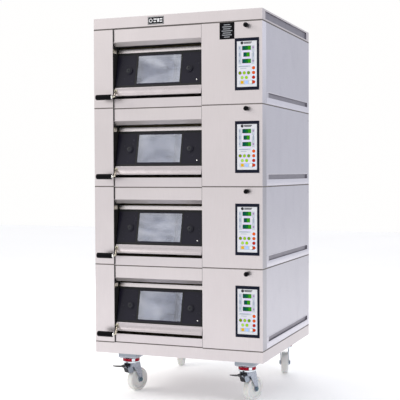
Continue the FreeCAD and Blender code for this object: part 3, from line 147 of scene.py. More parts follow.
def plain(name, colour, rough, tone=0.12, grain=900, bump=0.02, **sockets):
    """Moulded, painted or cast finish: cloudy tone, fine grain in gloss and relief."""
    made = Finish(name, **sockets)
    cloud = made.noise(BLOTCH_SCALE, detail=4.0)
    fine = made.noise(grain, detail=2.0)
    toned = made.mix(made.span(cloud, 0, 1), shade(colour, 1 - tone), shade(colour, 1 + tone))
    made.set("Base Color", made.mix(made.span(fine, 0, 0.35), toned, shade(colour, 0.75)))
    made.set("Roughness", made.span(made.noise(BLOTCH_SCALE * 4, detail=5.0), rough[0], rough[1]))
    made.bump(fine, bump * MM)
    return made


def brushed(name, colour, rough, along, lines=1.0):
    """Brushed stainless steel; along is the brushing direction, 0 for X, 1 for Y and 2 for Z."""
    made = Finish(name, Metallic=1.0, Anisotropic=0.35)
    fine_stretch = [1.0, 1.0, 1.0]
    fine_stretch[along] = 0.012
    long_stretch = [1.0, 1.0, 1.0]
    long_stretch[along] = 0.05
    hair = made.noise(1500, fine_stretch, detail=2.0)
    band = made.noise(240, long_stretch, detail=3.0)
    cloud = made.noise(3.2, detail=3.0, warp=0.4)
    wiped = made.noise(11, (1, 1, 0.5), detail=5.0, warp=0.8)
    toned = made.mix(made.span(cloud, 0, 1), shade(colour, 0.965), shade(colour, 1.03))
    toned = made.mix(made.span(hair, 0, 0.5), toned, shade(colour, 1 - 0.10 * lines))
    toned = made.mix(made.span(band, 0, 0.4), toned, shade(colour, 1 - 0.07 * lines))
    made.set("Base Color", made.mix(made.span(wiped, 0, SMUDGE, 0.55, 0.8), toned, shade(colour, 0.75)))
    spread = made.span(hair, rough[0], rough[1])
    dull = made.span(wiped, 0.0, 0.08, 0.5, 0.8)
    made.set("Roughness", made.add("Math", {0: spread, 1: dull}, operation="ADD").outputs[0])
    made.bump(hair, 0.012 * MM * lines)
    made.bump(band, 0.02 * MM * lines)
    return made


def spangled(name, colour, rough, size=90, tone=0.14):
    """Zinc-coated steel with its crystal pattern."""
    made = Finish(name, Metallic=1.0)
    flake = made.add("SeparateColor", {"Color": made.cells(size)}).outputs["Red"]
    fleck = made.add("SeparateColor", {"Color": made.cells(size * 3.1)}).outputs["Green"]
    toned = made.mix(flake, shade(colour, 1 - tone), shade(colour, 1 + tone))
    made.set("Base Color", made.mix(made.span(fleck, 0, 0.35, 0, 1), toned, shade(colour, 0.85)))
    made.set("Roughness", made.span(flake, rough[0], rough[1], 0, 1))
    made.bump(made.noise(300, detail=4.0), 0.05 * MM)
    return made


# ---------------------------------------------------------------- materials of the slots

STEEL = (0.672, 0.622, 0.630)
SIDE_STEEL = (0.612, 0.596, 0.645)


def make_chamber_steel():
    """Steel that heat has tinted straw and blue-grey."""
    made = Finish("chamber_steel", Metallic=1.0)
    heat = made.noise(7, detail=5.0, warp=1.2)
    hair = made.noise(900, (0.03, 1, 1), detail=2.0)
    toned = made.mix(made.span(heat, 0, 1), (0.62, 0.60, 0.58), (0.55, 0.50, 0.44))
    made.set("Base Color", made.mix(made.span(hair, 0, 0.4), toned, (0.42, 0.41, 0.42)))
    made.set("Roughness", made.span(made.noise(40, detail=5.0), 0.32, 0.55))
    made.bump(hair, 0.03 * MM)
    return made


def make_stone():
    """Fired hearth stone: sandy grains, pits and baked-on flour."""
    made = Finish("hearth_stone")
    grain = made.noise(700, detail=4.0, rough=0.7)
    pits = made.cells(260, output="Distance")
    burnt = made.noise(9, detail=6.0, warp=1.0)
    toned = made.mix(made.span(grain, 0, 1), (0.50, 0.43, 0.33), (0.68, 0.61, 0.50))
    toned = made.mix(made.span(burnt, 0, 0.6, 0.5, 0.75), toned, (0.30, 0.22, 0.15))
    made.set("Base Color", made.mix(made.span(pits, 0.5, 0, 0.0, 0.25), toned, (0.22, 0.18, 0.14)))
    made.set("Roughness", made.span(grain, 0.8, 0.95))
    made.bump(pits, 0.35 * MM)
    made.bump(grain, 0.2 * MM)
    return made


def make_window_glass():
    """Heat-reflecting pane: part clear, part a soft bluish mirror. Painted reflection: the mirror share varies in
    soft blotches and a bluish diffuse haze runs in streaks.
    """
    made = Finish("window_glass", Metallic=1.0, Base_Color=(0.78, 0.80, 0.87, 1))
    # Painted reflection: these noises set the blotches and streaks that stand in for reflections on the pane.
    reflection_blotches = made.noise(4.5, (1, 1, 1.3), detail=1.5, warp=1.6)
    reflection_streaks = made.noise(14, (1, 1, 0.3), detail=2.0, warp=0.6)
    made.set("Roughness", made.span(reflection_blotches, 0.08, 0.22))
    clear = made.add("BsdfTransparent", {"Color": (0.80, 0.82, 0.88, 1)})
    reflection_haze = made.add("BsdfDiffuse", {"Color": (0.60, 0.62, 0.70, 1)})
    haze_share = made.span(reflection_streaks, 0.04, 0.16)
    hazed = made.add("MixShader", {0: haze_share, 1: clear.outputs[0], 2: reflection_haze.outputs[0]})
    share = made.span(reflection_blotches, 0.14, 0.42)
    whole = made.add("MixShader", {0: share, 1: hazed.outputs[0], 2: made.shader.outputs[0]})
    out = made.tree.nodes["Material Output"]
    made.tree.links.new(whole.outputs[0], out.inputs["Surface"])
    return made


def make_lamp_glass():
    """Frosted oven lamp that is switched on."""
    made = Finish("lamp_glass", Base_Color=(0.95, 0.92, 0.84, 1), Emission_Strength=1.6)
    rings = made.cells(180, output="Distance")
    made.set("Emission Color", made.mix(made.span(rings, 0, 1, 0, 0.5), (1.0, 0.93, 0.80), (0.92, 0.95, 1.0)))
    made.set("Roughness", made.span(made.noise(500), 0.2, 0.35))
    made.bump(rings, 0.3 * MM)
    return made


MATERIALS = {
    "stainless_panel": brushed("stainless_panel", STEEL, (0.30, 0.40), 2),
    "stainless_side": brushed("stainless_side", SIDE_STEEL, (0.30, 0.40), 1),
    "stainless_door": brushed("stainless_door", shade(STEEL, 1.02), (0.24, 0.34), 0),
    "polished_steel": brushed("polished_steel", (0.66, 0.62, 0.50), (0.12, 0.22), 0, lines=0.6),
    "zinc_steel": spangled("zinc_steel", (0.44, 0.47, 0.53), (0.22, 0.38), size=160),
    "red_ring": plain("red_ring", (0.36, 0.004, 0.020), (0.28, 0.42), Specular_IOR_Level=0.12),
    "black_plate": plain("black_plate", (0.003, 0.003, 0.004), (0.35, 0.5), tone=0.2,
                         Specular_IOR_Level=0.06),
    "galvanised_sheet": spangled("galvanised_sheet", (0.56, 0.58, 0.60), (0.34, 0.52)),
    "chamber_steel": make_chamber_steel(),
    "mineral_wool": plain("mineral_wool", (0.22, 0.18, 0.10), (0.9, 1.0), tone=0.3, grain=1400, bump=0.8),
    "hearth_stone": make_stone(),
    "element_steel": plain("element_steel", (0.08, 0.075, 0.07), (0.5, 0.7), tone=0.4, bump=0.06,
                           Metallic=0.7),
    "lamp_glass": make_lamp_glass(),
    "bolt_steel": spangled("bolt_steel", (0.50, 0.50, 0.52), (0.22, 0.36), size=700, tone=0.06),
    "bezel_navy": plain("bezel_navy", (0.003, 0.005, 0.017), (0.32, 0.42), tone=0.12, bump=0.03,
                        Specular_IOR_Level=0.14),
    "overlay_white": plain("overlay_white", (0.67, 0.68, 0.71), (0.28, 0.40), tone=0.03, grain=2400,
                           bump=0.03),
    "display_dark": plain("display_dark", (0.006, 0.035, 0.030), (0.06, 0.12), tone=0.2, Coat_Weight=0.5),
    "key_plastic": plain("key_plastic", (0.60, 0.10, 0.01), (0.25, 0.35), tone=0.06),
    "board_green": plain("board_green", (0.02, 0.16, 0.06), (0.3, 0.5)),
    "gland_black": plain("gland_black", (0.02, 0.02, 0.02), (0.45, 0.6), bump=0.05),
    "black_glass": plain("black_glass", (0.010, 0.009, 0.018), (0.24, 0.28), tone=0.06, grain=1800,
                         bump=0.002, Specular_IOR_Level=0.24),
    "window_glass": make_window_glass(),
    "black_grip": plain("black_grip", (0.003, 0.003, 0.004), (0.38, 0.5), tone=0.2, bump=0.05,
                        Specular_IOR_Level=0.05),
    "black_knob": plain("black_knob", (0.002, 0.002, 0.003), (0.12, 0.2), tone=0.2, bump=0.01,
                        Specular_IOR_Level=0.06),
    "white_nylon": plain("white_nylon", (0.74, 0.74, 0.71), (0.38, 0.5), tone=0.04, bump=0.05,
                         Subsurface_Weight=0.1, Subsurface_Scale=0.004),
    "brake_dark": plain("brake_dark", (0.020, 0.021, 0.026), (0.3, 0.5), tone=0.3, bump=0.04,
                        Specular_IOR_Level=0.25),
}

for part in frame["record"]["subparts"]:
    cad = NODES[part["node"]]
    cad.data.materials.clear()
    cad.data.materials.append(MATERIALS[part["material_slot"]].material)


# ---------------------------------------------------------------- mesh helpers

class Build:
    """A mesh under construction in millimetres; place brings it into the row frame."""

    ORDER = {"x": (2, 0, 1), "y": (0, 2, 1), "z": (0, 1, 2)}
    PICK = {"x": (1, 2, 0), "y": (0, 2, 1), "z": (0, 1, 2)}

    def __init__(self, place):
        self.mesh = bmesh.new()
        self.place = place
        self.paint = 0

    def point(self, first, second, along, axis):
        values = (first, second, along)
        order = self.ORDER[axis]
        return self.mesh.verts.new(self.place @ Vector([values[index] for index in order]))

    def face(self, points):
        made = self.mesh.faces.new(points)
        made.material_index = self.paint
        made.smooth = True

    def loft(self, rings, closed=True):
        """Skin between rings of points; the end rings are capped if closed."""
        count = len(rings[0])
        for low, high in zip(rings, rings[1:]):
            for index in range(count):
                beside = (index + 1) % count
                self.face([low[index], low[beside], high[beside], high[index]])
        if closed:
            self.face(rings[0])
            self.face(rings[-1])

    def prism(self, outline, start, end, axis="y"):
        """An outline across two axes, drawn out along the third."""
        self.loft([[self.point(u, v, along, axis) for u, v in outline] for along in (start, end)])

    def frame(self, outer, inner, start, end, axis="y"):
        """A flat ring between two outlines with the same number of points."""
        rings = [
            [self.point(u, v, along, axis) for u, v in outline]
            for outline, along in ((outer, start), (outer, end), (inner, end), (inner, start))
        ]
        self.loft(rings + rings[:1], closed=False)

    def lathe(self, profile, centre, axis, steps=40):
        """A profile of (along, radius) turned round an axis through centre."""
        middle = [centre[index] for index in self.PICK[axis]]
        rings = []
        for along, radius in profile:
            ring = []
            for step in range(steps):
                angle = 2 * math.pi * step / steps
                ring.append(self.point(
                    middle[0] + radius * math.cos(angle),
                    middle[1] + radius * math.sin(angle),
                    middle[2] + along, axis,
                ))
            rings.append(ring)
        self.loft(rings)

    def piece(self, name, body, finishes, bevel=0.0, replaces=()):
        """Close the mesh and hang it on its body."""
        bmesh.ops.recalc_face_normals(self.mesh, faces=self.mesh.faces)
        mesh = bpy.data.meshes.new(name)
        self.mesh.to_mesh(mesh)
        self.mesh.free()
        for made in finishes:
            mesh.materials.append(made.material)
        item = bpy.data.objects.new(name, mesh)
        bpy.context.scene.collection.objects.link(item)
        round_edges(item, bevel)
        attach(item, body)
        if replaces:
            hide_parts(*replaces)
        return item


def round_edges(item, width, weld=False):
    """Rounded edges with clean shading on the flats."""
    if weld:
        joined = item.modifiers.new("weld", "WELD")
        joined.merge_threshold = 0.01 * MM
        flat = item.modifiers.new("flats", "DECIMATE")
        flat.decimate_type = "DISSOLVE"
        flat.angle_limit = math.radians(0.5)
        flat.delimit = {"MATERIAL"}
    if width:
        edge = item.modifiers.new("edges", "BEVEL")
        edge.width = width * MM
        edge.segments = 3
        edge.limit_method = "ANGLE"
        edge.angle_limit = math.radians(35)
        edge.harden_normals = not weld
        if weld:
            level = item.modifiers.new("normals", "WEIGHTED_NORMAL")
            level.weight = 100
    else:
        split = item.modifiers.new("split", "EDGE_SPLIT")
        split.split_angle = math.radians(35)


def rounded(left, low, right, high, radius, steps=4):
    """Outline of a rectangle with rounded corners."""
    points = []
    corners = ((right, high, 0), (left, high, 90), (left, low, 180), (right, low, 270))
    for x, z, start in corners:
        x += -radius if x == right else radius
        z += -radius if z == high else radius
        for step in range(steps + 1):
            angle = math.radians(start + 90 * step / steps)
            points.append((x + radius * math.cos(angle), z + radius * math.sin(angle)))
    return points


def on_deck(deck):
    """Millimetres across, back and up of one deck."""
    return Matrix.Translation((LEFT, FRONT, BASE + deck * DECK_HEIGHT)) @ Matrix.Scale(MM, 4)


def on_door(number):
    """Millimetres across, through and along one door, from its hinge axis."""
    hinge = JOINTS["door_%d_hinge" % number]["pos_m"]
    tilt = Matrix.Rotation(DOOR_TILT, 4, Vector((-1, 0, 0)))
    return Matrix.Translation((LEFT, hinge[1], hinge[2])) @ tilt @ Matrix.Scale(MM, 4)


def on_caster(number):
    """Millimetres along the trail, across it and up, from the floor under one swivel axis."""
    swivel = Vector(JOINTS["caster_%d_swivel" % number]["pos_m"])
    axle = Vector(JOINTS["wheel_%d_axle" % number]["pos_m"])
    trail = axle - swivel
    turn = Matrix.Rotation(math.atan2(trail.y, trail.x), 4, "Z")
    return Matrix.Translation((swivel.x, swivel.y, 0)) @ turn @ Matrix.Scale(MM, 4)


# ---------------------------------------------------------------- finer finishes

def srgb(red, green, blue):
    """A screen colour as linear light."""
    channels = (red, green, blue)
    return tuple(((part + 0.055) / 1.055) ** 2.4 if part > 0.04 else part / 12.92 for part in channels)


def lit(name, colour, strength):
    """Plastic that glows from behind, a little unevenly."""
    made = plain(name, shade(colour, 0.45), (0.2, 0.3), tone=0.1, bump=0.01, Specular_IOR_Level=0.03,
                 Emission_Strength=strength)
    glow = made.span(made.noise(160, detail=2.0), 0, 1)
    made.set("Emission Color", made.mix(glow, shade(colour, 0.85), shade(colour, 1.1)))
    return made


# Painted light: the jamb faces get a lighter, near-mirror copy of the panel steel.
JAMB_PAINTED_LIGHT = brushed("jamb_painted_light", (0.74, 0.68, 0.65), (0.05, 0.11), 2, lines=0.5)
# Painted shade: a dark copy of the side steel for the recessed slots.
SLOT_PAINTED_SHADE = brushed("slot_painted_shade", (0.29, 0.275, 0.31), (0.35, 0.5), 1)
# Painted shade: a darker copy of the panel steel for the header's down-facing slope.
SLOPE_PAINTED_SHADE = brushed("slope_painted_shade", (0.62, 0.575, 0.575), (0.40, 0.50), 0)
# Painted highlight: a lighter copy of the door steel for the door rail.
RAIL_PAINTED_HIGHLIGHT = brushed("rail_painted_highlight", (0.75, 0.70, 0.71), (0.24, 0.34), 0)
# Painted shade: a darker copy of the panel steel for the front of the lower fascia, under the door.
LOWER_PAINTED_SHADE = brushed("lower_painted_shade", (0.648, 0.598, 0.612), (0.30, 0.40), 2)
# Painted shade: a darker copy of the door steel for the sill, which tilts up toward the key light.
SILL_PAINTED_SHADE = brushed("sill_painted_shade", (0.560, 0.515, 0.530), (0.24, 0.34), 0)
# Painted shade: a dark, bluish copy of steel for the caster pads under the plinth.
PAD_PAINTED_SHADE = brushed("pad_painted_shade", (0.30, 0.33, 0.37), (0.30, 0.42), 0)
BRIGHT_ZINC = spangled("bright_zinc", (0.78, 0.84, 0.88), (0.18, 0.30), size=300, tone=0.06)
LEVER_ZINC = spangled("lever_zinc", (0.40, 0.44, 0.50), (0.20, 0.34), size=300)
# Painted light on the fascias' side wraps: the side panels' darker, bluer tone, with a height gradient added
# below.
WRAP_PAINTED_LIGHT = brushed("wrap_painted_light", SIDE_STEEL, (0.26, 0.36), 2)
# Painted highlight: a lighter copy of the side steel for the folded hems under the side slots.
HEM_PAINTED_HIGHLIGHT = brushed("hem_painted_highlight", (0.74, 0.72, 0.78), (0.30, 0.40), 1)
# Painted shade: a near-black finish for faces in deep shade, under the header, on top of the lower fascia, on the
# doors' side edges and inside the jambs.
SHADE_BLACK = plain("painted_shade_black", (0.010, 0.009, 0.008), (0.55, 0.8), tone=0.4, Metallic=0.2)
SEAL = plain("door_seal", (0.004, 0.004, 0.005), (0.45, 0.6), tone=0.3, bump=0.05, Specular_IOR_Level=0.3)
DARK_ZINC = spangled("dark_zinc", (0.13, 0.19, 0.23), (0.2, 0.35), size=500)
# Painted shade: dark grey strips wider than the seams, standing in for the shade in the joints.
SEAM_SHADE = plain("seam_painted_shade", (0.135, 0.120, 0.112), (0.5, 0.65), tone=0.15, Specular_IOR_Level=0.2)
BRASS = brushed("hinge_brass", (0.70, 0.60, 0.38), (0.15, 0.25), 0, lines=0.6)
FERRULE = brushed("bright_ring", (0.86, 0.85, 0.83), (0.10, 0.18), 0, lines=0.4)
MARK_WHITE = plain("mark_white", (0.75, 0.75, 0.76), (0.4, 0.5), tone=0.05)
MARK_GREY = plain("mark_grey", (0.30, 0.31, 0.33), (0.4, 0.5), tone=0.05)


# Heights in metres between which the painted light on the wraps goes from its shade to its reflection.
FADE_START, FADE_END = 1.25, 1.95


def paint_light_by_height(made, low, high):
    """Painted light by height: multiply a finish darker towards the floor and lighter towards the top of the oven,
    as painted shade below and a painted reflection above.
    """
    tone = made.shader.inputs["Base Color"].links[0].from_socket
    height = made.add("SeparateXYZ", {"Vector": made.place}).outputs["Z"]
    inputs = {"Value": height, "From Min": FADE_START, "From Max": FADE_END, "To Min": 0.0, "To Max": 1.0}
    rise = made.add("MapRange", inputs, interpolation_type="SMOOTHSTEP").outputs["Result"]
    strength = made.mix(rise, (low, low, low), (high, high, high))
    made.set("Base Color", made.mix(1.0, tone, strength, "MULTIPLY"))


# Painted shade low on the wraps and a painted reflection near the top.
paint_light_by_height(WRAP_PAINTED_LIGHT, 0.74, 1.35)


def repaint(node, made, chosen):
    """Give some faces of a CAD node a second material; chosen looks at a face's middle and normal."""
    mesh = NODES[node].data
    mesh.materials.append(made.material)
    index = len(mesh.materials) - 1
    for polygon in mesh.polygons:
        if chosen(polygon.center, polygon.normal):
            polygon.material_index = index


# What counts as near a plane, and how squarely a face must look along an axis.
NEAR = 1.0 * MM
SQUARE_ON = 0.9
HALF_WIDTH = BODY_WIDTH / 2 * MM
OPENING = (LEFT + OPENING_LEFT * MM, LEFT + OPENING_RIGHT * MM)
SLOT_NEAR, SLOT_FAR = 2.0 * MM, 9.5 * MM
CASTER_PAD_TOP = 0.243
PEDAL_FOOT_TOP = 0.148


def on_jamb(middle, normal):
    return min(abs(middle.x - edge) for edge in OPENING) < NEAR and abs(normal.x) > SQUARE_ON


def on_outer_side(middle, normal):
    return abs(normal.x) > SQUARE_ON and HALF_WIDTH - abs(middle.x) < NEAR


def in_side_band(middle, normal):
    """A face between the outer side and the floor of the recessed band."""
    return SLOT_NEAR < HALF_WIDTH - abs(middle.x) < SLOT_FAR


def in_side_slot(middle, normal):
    """As in_side_band, without the back of the side sheet."""
    faces_inward = abs(normal.x) > SQUARE_ON and normal.x * middle.x < 0
    return in_side_band(middle, normal) and not faces_inward


for panel_node in ("front_posts", "control_fascias"):
    # Painted light on the jamb faces.
    repaint(panel_node, JAMB_PAINTED_LIGHT, on_jamb)
    # Painted light: the outer side faces of the posts and fascias take the wrap finish.
    repaint(panel_node, WRAP_PAINTED_LIGHT, on_outer_side)
# Painted shade on the header's down-facing slope.
repaint("header_panels", SLOPE_PAINTED_SHADE, lambda middle, normal: normal.z < -0.2 and normal.y < -0.2)
# Painted shade: near-black on the header's underside.
repaint("header_panels", SHADE_BLACK, lambda middle, normal: normal.z < -SQUARE_ON)
# Painted shade on the lower fascia's front.
repaint("lower_fascias", LOWER_PAINTED_SHADE, lambda middle, normal: normal.y < -SQUARE_ON)
# Painted shade: near-black on the lower fascia's top, in the gap under the door.
repaint("lower_fascias", SHADE_BLACK, lambda middle, normal: normal.z > SQUARE_ON)
# Painted shade on the caster pads under the plinth.
repaint("base_frame", PAD_PAINTED_SHADE, lambda middle, normal: middle.z < CASTER_PAD_TOP)
# Painted shade inside the recessed slots of the side panels and the cap's side band.
repaint("side_panels", SLOT_PAINTED_SHADE, in_side_slot)
repaint("top_cap", SLOT_PAINTED_SHADE, in_side_band)
# Painted shade: near-black on the doors' side edges.
for number in DECK_NUMBERS:
    repaint("door_frame_%d" % number, SHADE_BLACK, lambda middle, normal: abs(normal.x) > SQUARE_ON)
for number in BRAKED_CASTERS:
    repaint("brake_pedal_%d" % number, LEVER_ZINC,
            lambda middle, normal: normal.x > 0.8 and middle.z < PEDAL_FOOT_TOP)

# ---------------------------------------------------------------- shading of the CAD pieces

SHEET_NODES = ["top_cap", "front_posts", "control_fascias", "header_panels", "lower_fascias",
               "side_panels", "rear_panels", "deck_trays", "chamber_liners", "control_bezels"]
BLOCK_NODES = ["hearth_stones", "marking_plates"] + ["door_frame_%d" % number for number in DECK_NUMBERS]


def drop_normals(node):
    """Forget the stored normals of a CAD node's mesh."""
    mesh = NODES[node].data
    if "custom_normal" in mesh.attributes:
        mesh.attributes.remove(mesh.attributes["custom_normal"])
    return mesh


def soften(node, width):
    """Weld a CAD node's seams and round its edges."""
    drop_normals(node).shade_smooth()
    round_edges(NODES[node], width, weld=True)


SHEET_EDGE, BLOCK_EDGE = 0.5, 1.4
drop_normals("base_frame").shade_flat()
for node in SHEET_NODES:
    soften(node, SHEET_EDGE)
for node in BLOCK_NODES:
    soften(node, BLOCK_EDGE)

# ---------------------------------------------------------------- doors

# Places on a door, in millimetres across, through and along it from its hinge axis.
DOOR_LEFT, DOOR_RIGHT = 119.5, 623.0
FACE = -12.0
SILL_LOW, SILL_HIGH = -251.8, -204.6
RAIL_LOW, RAIL_HIGH = -10.6, 12.0
WINDOW_LEFT, WINDOW_RIGHT = 244.0, 493.0
DISCS = (194.0, 545.0)
DISC_HEIGHT = -111.0
PANEL_FACE = -11.6
DISC_FRONT = PANEL_FACE - 6.0
STUD_PLACE = (592.0, PANEL_FACE, -174.8)
GRIP_END = (136.0, FACE - 65.0, -277.0)
FOLD_INSET = 0.5
SILL_END_WIDTH = 8.0


def make_door_folds(number):
    """Folded stainless rims of the rail and the sill."""
    folds = Build(on_door(number))
    back = FACE + 0.2
    left, right = DOOR_LEFT + FOLD_INSET, DOOR_RIGHT - FOLD_INSET
    low, high = SILL_LOW, SILL_HIGH
    # Painted shade: the sill takes the darker copy of the door steel.
    folds.paint = 1
    folds.prism([
        (back, high), (FACE - 1.0, high - 0.6), (FACE - 1.6, high - 2.2), (FACE - 1.6, high - 7.5),
        (FACE - 0.4, high - 9.5), (FACE - 0.4, low + 13.5), (FACE - 1.8, low + 10.5), (FACE - 1.8, low + 2.0),
        (FACE - 0.8, low + 0.3), (back, low + 0.2),
    ], left, right, "x")
    sill_end = [(back, low + 0.3), (FACE - 2.0, low + 1.2), (FACE - 2.0, high - 1.2), (back, high - 0.2)]
    for start in (DOOR_LEFT + 0.4, DOOR_RIGHT - 0.4 - SILL_END_WIDTH):
        folds.prism(sill_end, start, start + SILL_END_WIDTH, "x")
    low, high = RAIL_LOW, RAIL_HIGH
    # Painted highlight: the rail takes the lighter copy of the door steel.
    folds.paint = 0
    folds.prism([
        (back, low + 0.2), (FACE - 1.5, low + 0.6), (FACE - 1.5, high - 0.9), (FACE - 0.7, high - 0.1),
        (FACE + 2.0, high - 0.1), (FACE + 2.0, low + 4.0),
    ], left, right, "x")
    folds.piece("door_folds_%d" % number, "door_%d" % number,
                [RAIL_PAINTED_HIGHLIGHT, SILL_PAINTED_SHADE], bevel=0.35)


def make_panel_trim(number):
    """Black seals round the glass panel and beside the window."""
    trim = Build(on_door(number))
    left, right = DOOR_LEFT + 1, DOOR_RIGHT - 1
    low, high = SILL_HIGH + 0.5, RAIL_LOW - 0.5
    low_strip_top, high_strip_bottom = low + 11, high - 12
    level_strips = [(low, low_strip_top, 2.0), (high_strip_bottom, high - 0.2, 1.0)]
    upright_strips = [
        (DOOR_RIGHT - 14, right),
        (WINDOW_LEFT - 11, WINDOW_LEFT - 0.5),
        (WINDOW_RIGHT + 0.5, WINDOW_RIGHT + 10),
    ]
    strips = [(left, bottom, right, top, depth) for bottom, top, depth in level_strips]
    strips += [(start, low_strip_top, end, high_strip_bottom, 0.5) for start, end in upright_strips]
    for start, bottom, end, top, depth in strips:
        trim.prism(rounded(start, bottom, end, top, 0.6, 1), PANEL_FACE - 0.5, PANEL_FACE + depth)
    trim.piece("panel_seals_%d" % number, "door_%d" % number, [SEAL], bevel=0.2)


def make_door_hardware(number):
    """Caps of the clamp discs, a small stud, the clip between the panes and the grip's bright end ring."""
    body = "door_%d" % number
    caps = Build(on_door(number))
    for place in DISCS:
        caps.lathe([
            (-0.4, 13.5), (-1.4, 13.2), (-2.4, 11.5), (-3.2, 8.8), (-3.6, 6.6), (-3.4, 4.2), (-1.9, 3.9),
            (-1.9, 0.2),
        ], (place, DISC_FRONT, DISC_HEIGHT), "y")
    caps.piece("disc_caps_%d" % number, body, [MATERIALS["brake_dark"]])
    stud = Build(on_door(number))
    stud.lathe([(0.1, 3.8), (-0.5, 3.8), (-1.6, 3.1), (-2.2, 1.8), (-2.5, 0.2)], STUD_PLACE, "y", 24)
    stud.piece("panel_stud_%d" % number, body, [FERRULE])
    clip = Build(on_door(number))
    clip.prism(rounded(450, -181, 456, -32, 1.5), 2, 14)
    clip.prism(rounded(406, -150, 449, -146, 1.0), 6, 12)
    clip.piece("pane_clip_%d" % number, body, [MATERIALS["brake_dark"]], bevel=0.4)
    ring = Build(on_door(number))
    ring.lathe([(0.1, 9.6), (0.6, 10.4), (2.2, 11.0), (5.2, 10.6), (6.6, 9.2), (6.6, 5.0)], GRIP_END, "x")
    ring.piece("grip_ring_%d" % number, body, [FERRULE])


BUSHING = ((0.1, 4.4), (0.1, 9.0), (2.4, 8.6), (3.2, 7.4), (3.2, 4.4))


def make_bushings():
    """Brass bushings of the hinge pins in the jambs."""
    bushings = Build(Matrix.Scale(MM, 4))
    for number in DECK_NUMBERS:
        hinge = Vector(JOINTS["door_%d_hinge" % number]["pos_m"]) / MM
        for edge, out in ((OPENING[0] / MM, 1), (OPENING[1] / MM, -1)):
            profile = [(along * out, radius) for along, radius in BUSHING]
            bushings.lathe(profile, (edge, hinge.y, hinge.z), "x")
    bushings.piece("hinge_bushings", "oven_body", [BRASS])


for number in DECK_NUMBERS:
    make_door_folds(number)
    make_panel_trim(number)
    make_door_hardware(number)
make_bushings()

# ---------------------------------------------------------------- control panels

# The panel's corner and face on a deck; places on it are measured right and down from that corner.
PANEL_LEFT = 812.5
PANEL_TOP = 338.0
PANEL_SKIN = -2.0

# Each key's place and colour; the first ones are round and the rest square.
KEYS = [
    (101, 155, srgb(0.86, 0.34, 0.05)), (101, 179, srgb(0.83, 0.33, 0.09)),
    (101, 203, srgb(0.70, 0.13, 0.03)), (101, 227, srgb(0.76, 0.22, 0.01)),
    (28, 179, srgb(0.47, 0.56, 0.02)), (51, 179, srgb(0.58, 0.75, 0.14)), (74, 179, srgb(0.43, 0.60, 0.06)),
    (39.5, 203, srgb(0.66, 0.82, 0.36)), (62.5, 203, srgb(0.60, 0.80, 0.12)),
    (39.5, 227, srgb(0.87, 0.67, 0.01)), (62.5, 227, srgb(0.66, 0.78, 1.0)),
    (85.5, 227, srgb(0.90, 0.93, 0.91)),
]
FIRST_SQUARE_KEY = 9
KEY_FINISHES = [
    plain("key_%02d" % index, shade(colour, 0.95), (0.22, 0.34), tone=0.05, bump=0.02,
          Specular_IOR_Level=0.15)
    for index, (_, _, colour) in enumerate(KEYS)
]
KEY_RADIUS = 8.8
ROUND_KEY = [
    (0.05, KEY_RADIUS), (-0.35, KEY_RADIUS - 0.1), (-0.5, KEY_RADIUS - 0.7), (-0.35, KEY_RADIUS - 1.3),
    (-0.55, KEY_RADIUS - 3.2), (-0.72, 3.0), (-0.78, 0.1),
]
SQUARE_KEY = [(0.05, 7.6), (-0.35, 7.6), (-0.5, 7.0), (-0.4, 6.4), (-0.6, 4.5), (-0.72, 1.0)]


def make_keys():
    """Domed keys under the membrane, each with a raised rim."""
    keys = Build(Matrix())
    for deck in DECKS:
        keys.place = on_deck(deck)
        for index, (right, down, _) in enumerate(KEYS):
            keys.paint = index
            x, z = PANEL_LEFT + right, PANEL_TOP - down
            if index < FIRST_SQUARE_KEY:
                keys.lathe(ROUND_KEY, (x, PANEL_SKIN, z), "y", 32)
                continue
            rings = []
            for along, half in SQUARE_KEY:
                outline = rounded(x - half, z - half, x + half, z + half, half * 0.28, 3)
                rings.append([keys.point(u, v, PANEL_SKIN + along, "y") for u, v in outline])
            keys.loft(rings)
    keys.piece("key_domes", "oven_body", KEY_FINISHES, replaces=["keypad_keys"])


LED_FINISHES = [
    lit("led_teal", srgb(0.0, 0.30, 0.32), 0.30),
    lit("led_green", srgb(0.05, 0.43, 0.20), 0.38),
    lit("led_leaf", srgb(0.24, 0.62, 0.01), 0.50),
    lit("led_segment", srgb(0.08, 0.48, 0.20), 0.45),
    MATERIALS["display_dark"],
]
TEAL, GREEN, LEAF, SEGMENT, GLASS = range(5)

# Each display's distance down the panel and its number of digits, which sets its width and cell tones.
DISPLAYS = [(52.0, 3), (85.5, 2), (119.0, 3)]
DISPLAY_MIDDLE = 63.5
DISPLAY_HEIGHT = 21.0
DISPLAY_WIDTHS = {3: 46.0, 2: 33.0}
DISPLAY_TONES = {3: (TEAL, GREEN, LEAF), 2: (TEAL, LEAF)}
RIM = 1.2
RIM_OVERLAP = 0.6
LIT_DEPTH = 0.12


